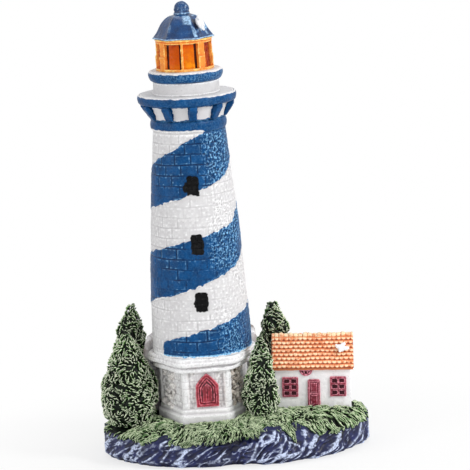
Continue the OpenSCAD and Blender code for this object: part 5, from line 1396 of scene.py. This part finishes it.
store(roof_boards, "bulge", np.full(len(roof_boards.data.vertices), 0.35))
roof_paint = new_paint("roof_orange", gloss=0.34, tooth=0.2, tooth_size=0.5, spec=0.5)
tile_bulge = attribute(roof_paint, "bulge")
out_of_joint = ramp(roof_paint, tile_bulge, 0.08, 0.34)
tile_body = over(roof_paint, out_of_joint, colour(142, 50, 16), colour(230, 128, 68))
tile_end = ramp(roof_paint, tile_bulge, 0.42, 0.72)
tile_lit = times(roof_paint, tile_end, ramp(roof_paint, speck(roof_paint, 1.8), 0.30, 0.50))
roof_colour = over(roof_paint, tile_lit, tile_body, colour(255, 230, 188))
finish_paint(roof_boards, roof_paint, roof_colour, "roof_orange", "cottage_roof")


def put(points, stand):
    """Points in millimetres, placed in the frame by a matrix."""
    return (np.c_[points * MM, np.ones(len(points))] @ np.array(stand).T)[:, :3]


def tile_sheet(name, node, turn, seed):
    """One slope of tiles: a sheet whose top follows every tile."""
    along, down_slope = np.linspace(-TILES_LONG / 2, TILES_LONG / 2, 216), np.linspace(0.1, SLOPE - 0.1, 104)
    u, v = np.meshgrid(along, down_slope)
    flat = points_at(u, v, seed) * MM
    u_worn = u + 0.35 * (grain(flat, 2.4 * MM, seed) - 0.5)
    v_worn = v + 0.40 * (grain(flat, 3.0 * MM, seed + 1) - 0.5)
    step = (SLOPE - 0.2) / COURSES
    bulge = np.zeros(u.shape)
    for i in range(COURSES):
        off = 2 * ((u_worn / TILE_WIDE + 0.5 * (i % 2)) % 1) - 1
        ends = 0.1 + (i + 1) * step - 0.26 * step * off ** 2
        down = (v_worn - ends + step) / step
        mound = np.clip(down, 0, 1) ** 0.7 * (1 - fade(0.86, 1.0, down)) * (1 - 0.55 * np.abs(off) ** 3)
        bulge = np.maximum(bulge, mound)
    top = 0.16 + 0.56 * bulge + 0.10 * (grain(flat, 0.6 * MM, seed + 2) - 0.5)
    edge = np.minimum(np.minimum(u + TILES_LONG / 2, TILES_LONG / 2 - u), SLOPE - 0.1 - v)
    top = top * (0.35 + 0.65 * fade(-0.01, 0.35, edge))
    sheet = np.concatenate([points_at(u, v, height).reshape(-1, 3) for height in (BOARD, BOARD + top)])
    stand = cottage_stand @ Matrix.Translation((0, 0, RIDGE_Z * MM)) @ Matrix.Rotation(turn, 4, "Z")
    stand = stand @ Matrix.Rotation(PITCH, 4, "X") @ Matrix.Diagonal((1, -1, 1, 1))
    rows, cols = u.shape
    count = rows * cols
    walk = np.array(wall_faces(rows, cols, False))
    rim = [*range(cols), *range(2 * cols - 1, count, cols)]
    rim += [*range(count - 2, count - cols - 1, -1), *range(count - 2 * cols, 0, -cols)]
    faces = walk[:, ::-1].tolist() + (walk + count).tolist()
    faces += [(i, j, j + count, i + count) for i, j in zip(rim, rim[1:] + rim[:1])]
    tiles = new_piece(name, put(sheet, stand), faces)
    feel_edges(tiles, reach=3, strength=0.6)
    worn_bulge = bulge * (0.75 + 0.5 * grain(flat, 2.2 * MM, seed + 3))
    store(tiles, "bulge", np.concatenate([np.zeros(count), worn_bulge.ravel()]))
    finish_paint(tiles, roof_paint, roof_colour, "roof_orange", node)


tile_sheet("tiles_front", "roof_tiles_front", 0, 181)
tile_sheet("tiles_back", "roof_tiles_back", math.pi, 191)
ridge_u = np.linspace(-TILES_LONG / 2, TILES_LONG / 2, 260)[:, None]
ridge_a = turns(36)
ridge_off = 2 * (ridge_u / TILE_WIDE % 1) - 1
ridge_end = 1 - fade(0, 0.3, TILES_LONG / 2 - np.abs(ridge_u))
ridge_r = 1.02 + 0.14 * np.sin(2.4 * np.floor(ridge_u / TILE_WIDE)) - 0.30 * np.abs(ridge_off) ** 4
ridge_r = ridge_r - 0.25 * ridge_end + 0 * ridge_a
ridge_up = RIDGE_Z + board_up - 0.25
ridge_points = points_at(ridge_u, ridge_r * np.cos(ridge_a), ridge_up + ridge_r * np.sin(ridge_a))
ridge = new_piece("ridge", put(ridge_points.reshape(-1, 3), cottage_stand), capped_faces(*ridge_r.shape))
roughen(ridge, (0.3, 1.6, 201), (0.1, 0.6, 202))
feel_edges(ridge, reach=3, strength=0.6)
ridge_worn = 0.4 + grain(vertices_of(ridge), 2 * MM, 203).reshape(ridge_r.shape)
store(ridge, "bulge", (0.45 + 0.5 * (1 - np.abs(ridge_off) ** 3) * ridge_worn).ravel())
finish_paint(ridge, roof_paint, roof_colour, "roof_orange", "ridge_tiles")

# The second gull spreads its wings on the front slope, with its peg in the tiles
flying = [ball((0, 0, 0.75), (1.25, 1.6, 0.8)), ball((0, -1.5, 1.0), (0.6, 0.65, 0.6)),
          ball((0.1, 1.5, 0.75), (0.85, 0.8, 0.4)), ball((0, 0, 0.1), (0.5, 0.5, 0.7))]
for side in (-1, 1):
    flying.append(ball((side * 1.2, 0.1, 0.9), (0.95, 0.95, 0.5)))
    flying.append(ball((side * 1.95, 0.4, 1.0), (0.6, 0.55, 0.36)))
slope_stand = cottage_stand @ Matrix.Translation((0, 0, RIDGE_Z * MM)) @ Matrix.Rotation(PITCH, 4, "X")
slope_stand = slope_stand @ Matrix.Translation((10.0 * MM, -SLOPE * 0.44 * MM, 1.75 * MM))
slope_stand = slope_stand @ Matrix.Rotation(math.radians(-20), 4, "Z")
roof_gull = cast("gull_on_roof", flying, slope_stand, 0.15, ((0.5, 1.3, 142), (0.2, 0.6, 143)))
feel_edges(roof_gull, reach=4, strength=0.6)
finish_paint(roof_gull, gull_paint, gull_colour, "white_paint", "roof_gull")

# Trees: four conifers cast in one piece each, of short curled sprays that overlap downwards. Near-black
# painted shade between the sprays and on their sides, with pale green dry-brushed on their ridges. Each has a
# peg in the turf.
GOLDEN_ANGLE = 2.39996


def foliage(t, shoulder, taper):
    """Outline of a conifer from its foot to its tip; it narrows above its shoulder."""
    low_part = 0.74 + 0.26 * np.sin(np.radians(np.minimum(t * 300, 90)))
    return np.where(t < shoulder, low_part, np.maximum(1 - (t - shoulder) / (1.02 - shoulder), 0) ** taper)


def conifer(spot, radius, foot, tip, lean, sprays, seed, shoulder, taper):
    """One tree, with sizes and heights in millimetres: a lumpy core painted near-black as shade, and the
    sprays on it.
    """
    node = "tree_" + spot
    x, y = TREES[spot]

    def skin_at(t, a):
        """Points on the lumpy core at some heights and angles, and the way out of it there."""
        t = np.clip(t, 0, 1)
        middle = points_at(x + lean * t * t, y, foot + (tip - foot) * t)
        out = points_at(np.cos(a), np.sin(a), 0.35 + 0.9 * t ** 3)
        full = foliage(t, shoulder, taper)
        smooth = (middle + out * points_at(radius * full, radius * full, 0)) * MM
        lumps = (grain(smooth, 4.4 * MM, seed) - 0.5) * 2.2 + (grain(smooth, 1.9 * MM, seed + 1) - 0.5) * 1.9
        reach = np.maximum(radius * full * 0.95 - 0.5 + lumps * np.minimum(full + 0.15, 1), 0.15)
        return middle + out * points_at(reach, reach, 0), out / np.linalg.norm(out, axis=-1, keepdims=True)

    around = np.linspace(0, 2 * np.pi, 96, endpoint=False)
    core_t, core_a = np.meshgrid(np.linspace(0, 0.985, 70), around, indexing="ij")
    core_points, _ = skin_at(core_t, core_a)
    core = new_piece(spot + "_core", core_points.reshape(-1, 3) * MM, capped_faces(*core_t.shape))
    # Painted shade: the core under the sprays is painted near-black
    store(core, "relief", np.full(core_t.size, 0.08))
    store(core, "tone", np.full(core_t.size, 0.3))
    # The sprays spread evenly: their heights follow the girth and their angles step by the golden angle
    levels = np.linspace(0, 1, 400)
    share = np.cumsum(foliage(levels, shoulder, taper) * 0.9 + 0.1)
    t = np.interp((np.arange(sprays) + 0.5) / sprays, share / share[-1], levels)
    a = np.arange(sprays) * GOLDEN_ANGLE + rng.normal(0, 0.06, sprays)
    root, _ = skin_at(t, a)
    swirl = (grain(root * MM, 3.0 * MM, seed + 2) - 0.5) * 5.0 + rng.normal(0, 0.5, len(t))
    bend = (grain(root * MM, 2.0 * MM, seed + 3) - 0.5) * 3.6 + rng.normal(0, 0.4, len(t))
    length = 1.4 + 0.8 * rng.random(len(t))
    girth = np.maximum(radius * foliage(t, shoulder, taper), 0.8)
    path_t, path_a = [t], [a]
    for step in range(4):
        turn = swirl + bend * (step / 3 - 0.4)
        path_t.append(path_t[-1] - np.cos(turn) * length / 4 / (tip - foot))
        path_a.append(path_a[-1] + np.sin(turn) * length / 4 / girth)
    path, ups = skin_at(np.stack(path_t, 1), np.stack(path_a, 1))
    arch = np.sin(np.pi * np.linspace(0.1, 0.85, 5))[None, :, None]
    path = path + ups * (arch * (0.45 + 0.55 * rng.random((len(t), 1, 1))))
    tone = np.clip(grain(root * MM, 5 * MM, seed + 4) + rng.normal(0, 0.2, len(t)), 0, 1)
    spray_wide = (0.25 + 0.10 * rng.random(len(t))) * MM
    spray_high = (0.55 + 0.20 * rng.random(len(t))) * MM
    leaves = strands(spot + "_sprays", path * MM, ups, spray_wide, spray_high, tone)
    box_low, box_high = (np.array(corner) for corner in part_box(node))
    room = np.array([0.9, 0.9, 0.4]) * MM
    box_low, box_high = np.maximum(box_low - room, low), np.minimum(box_high + room, high)
    for piece in (core, leaves):
        move_to(piece, np.clip(vertices_of(piece), box_low, box_high))
    finish_paint(core, tree_paint, tree_colour, "tree_paint", node)
    finish_paint(leaves, tree_paint, tree_colour, "tree_paint")


tree_paint = new_paint("tree_paint", gloss=0.5, tooth=0.2, tooth_size=0.5, spec=0.2)
tree_colour = leaf_coat(tree_paint, colour(3, 14, 4), colour(50, 96, 36), colour(104, 158, 74),
                        colour(252, 255, 232), patch_size=3.0, brush=(0.22, 0.42))
conifer("front_left", radius=9.3, foot=11.6, tip=42.6, lean=0.2,
        sprays=1700, seed=211, shoulder=0.42, taper=0.75)
conifer("back_left", radius=5.2, foot=12.6, tip=49.6, lean=1.8,
        sprays=1050, seed=221, shoulder=0.58, taper=0.62)
conifer("front_right", radius=6.1, foot=12.9, tip=40.4, lean=0.8,
        sprays=920, seed=231, shoulder=0.32, taper=0.8)
conifer("back_right", radius=5.2, foot=12.6, tip=46.0, lean=-0.8,
        sprays=980, seed=241, shoulder=0.62, taper=0.62)
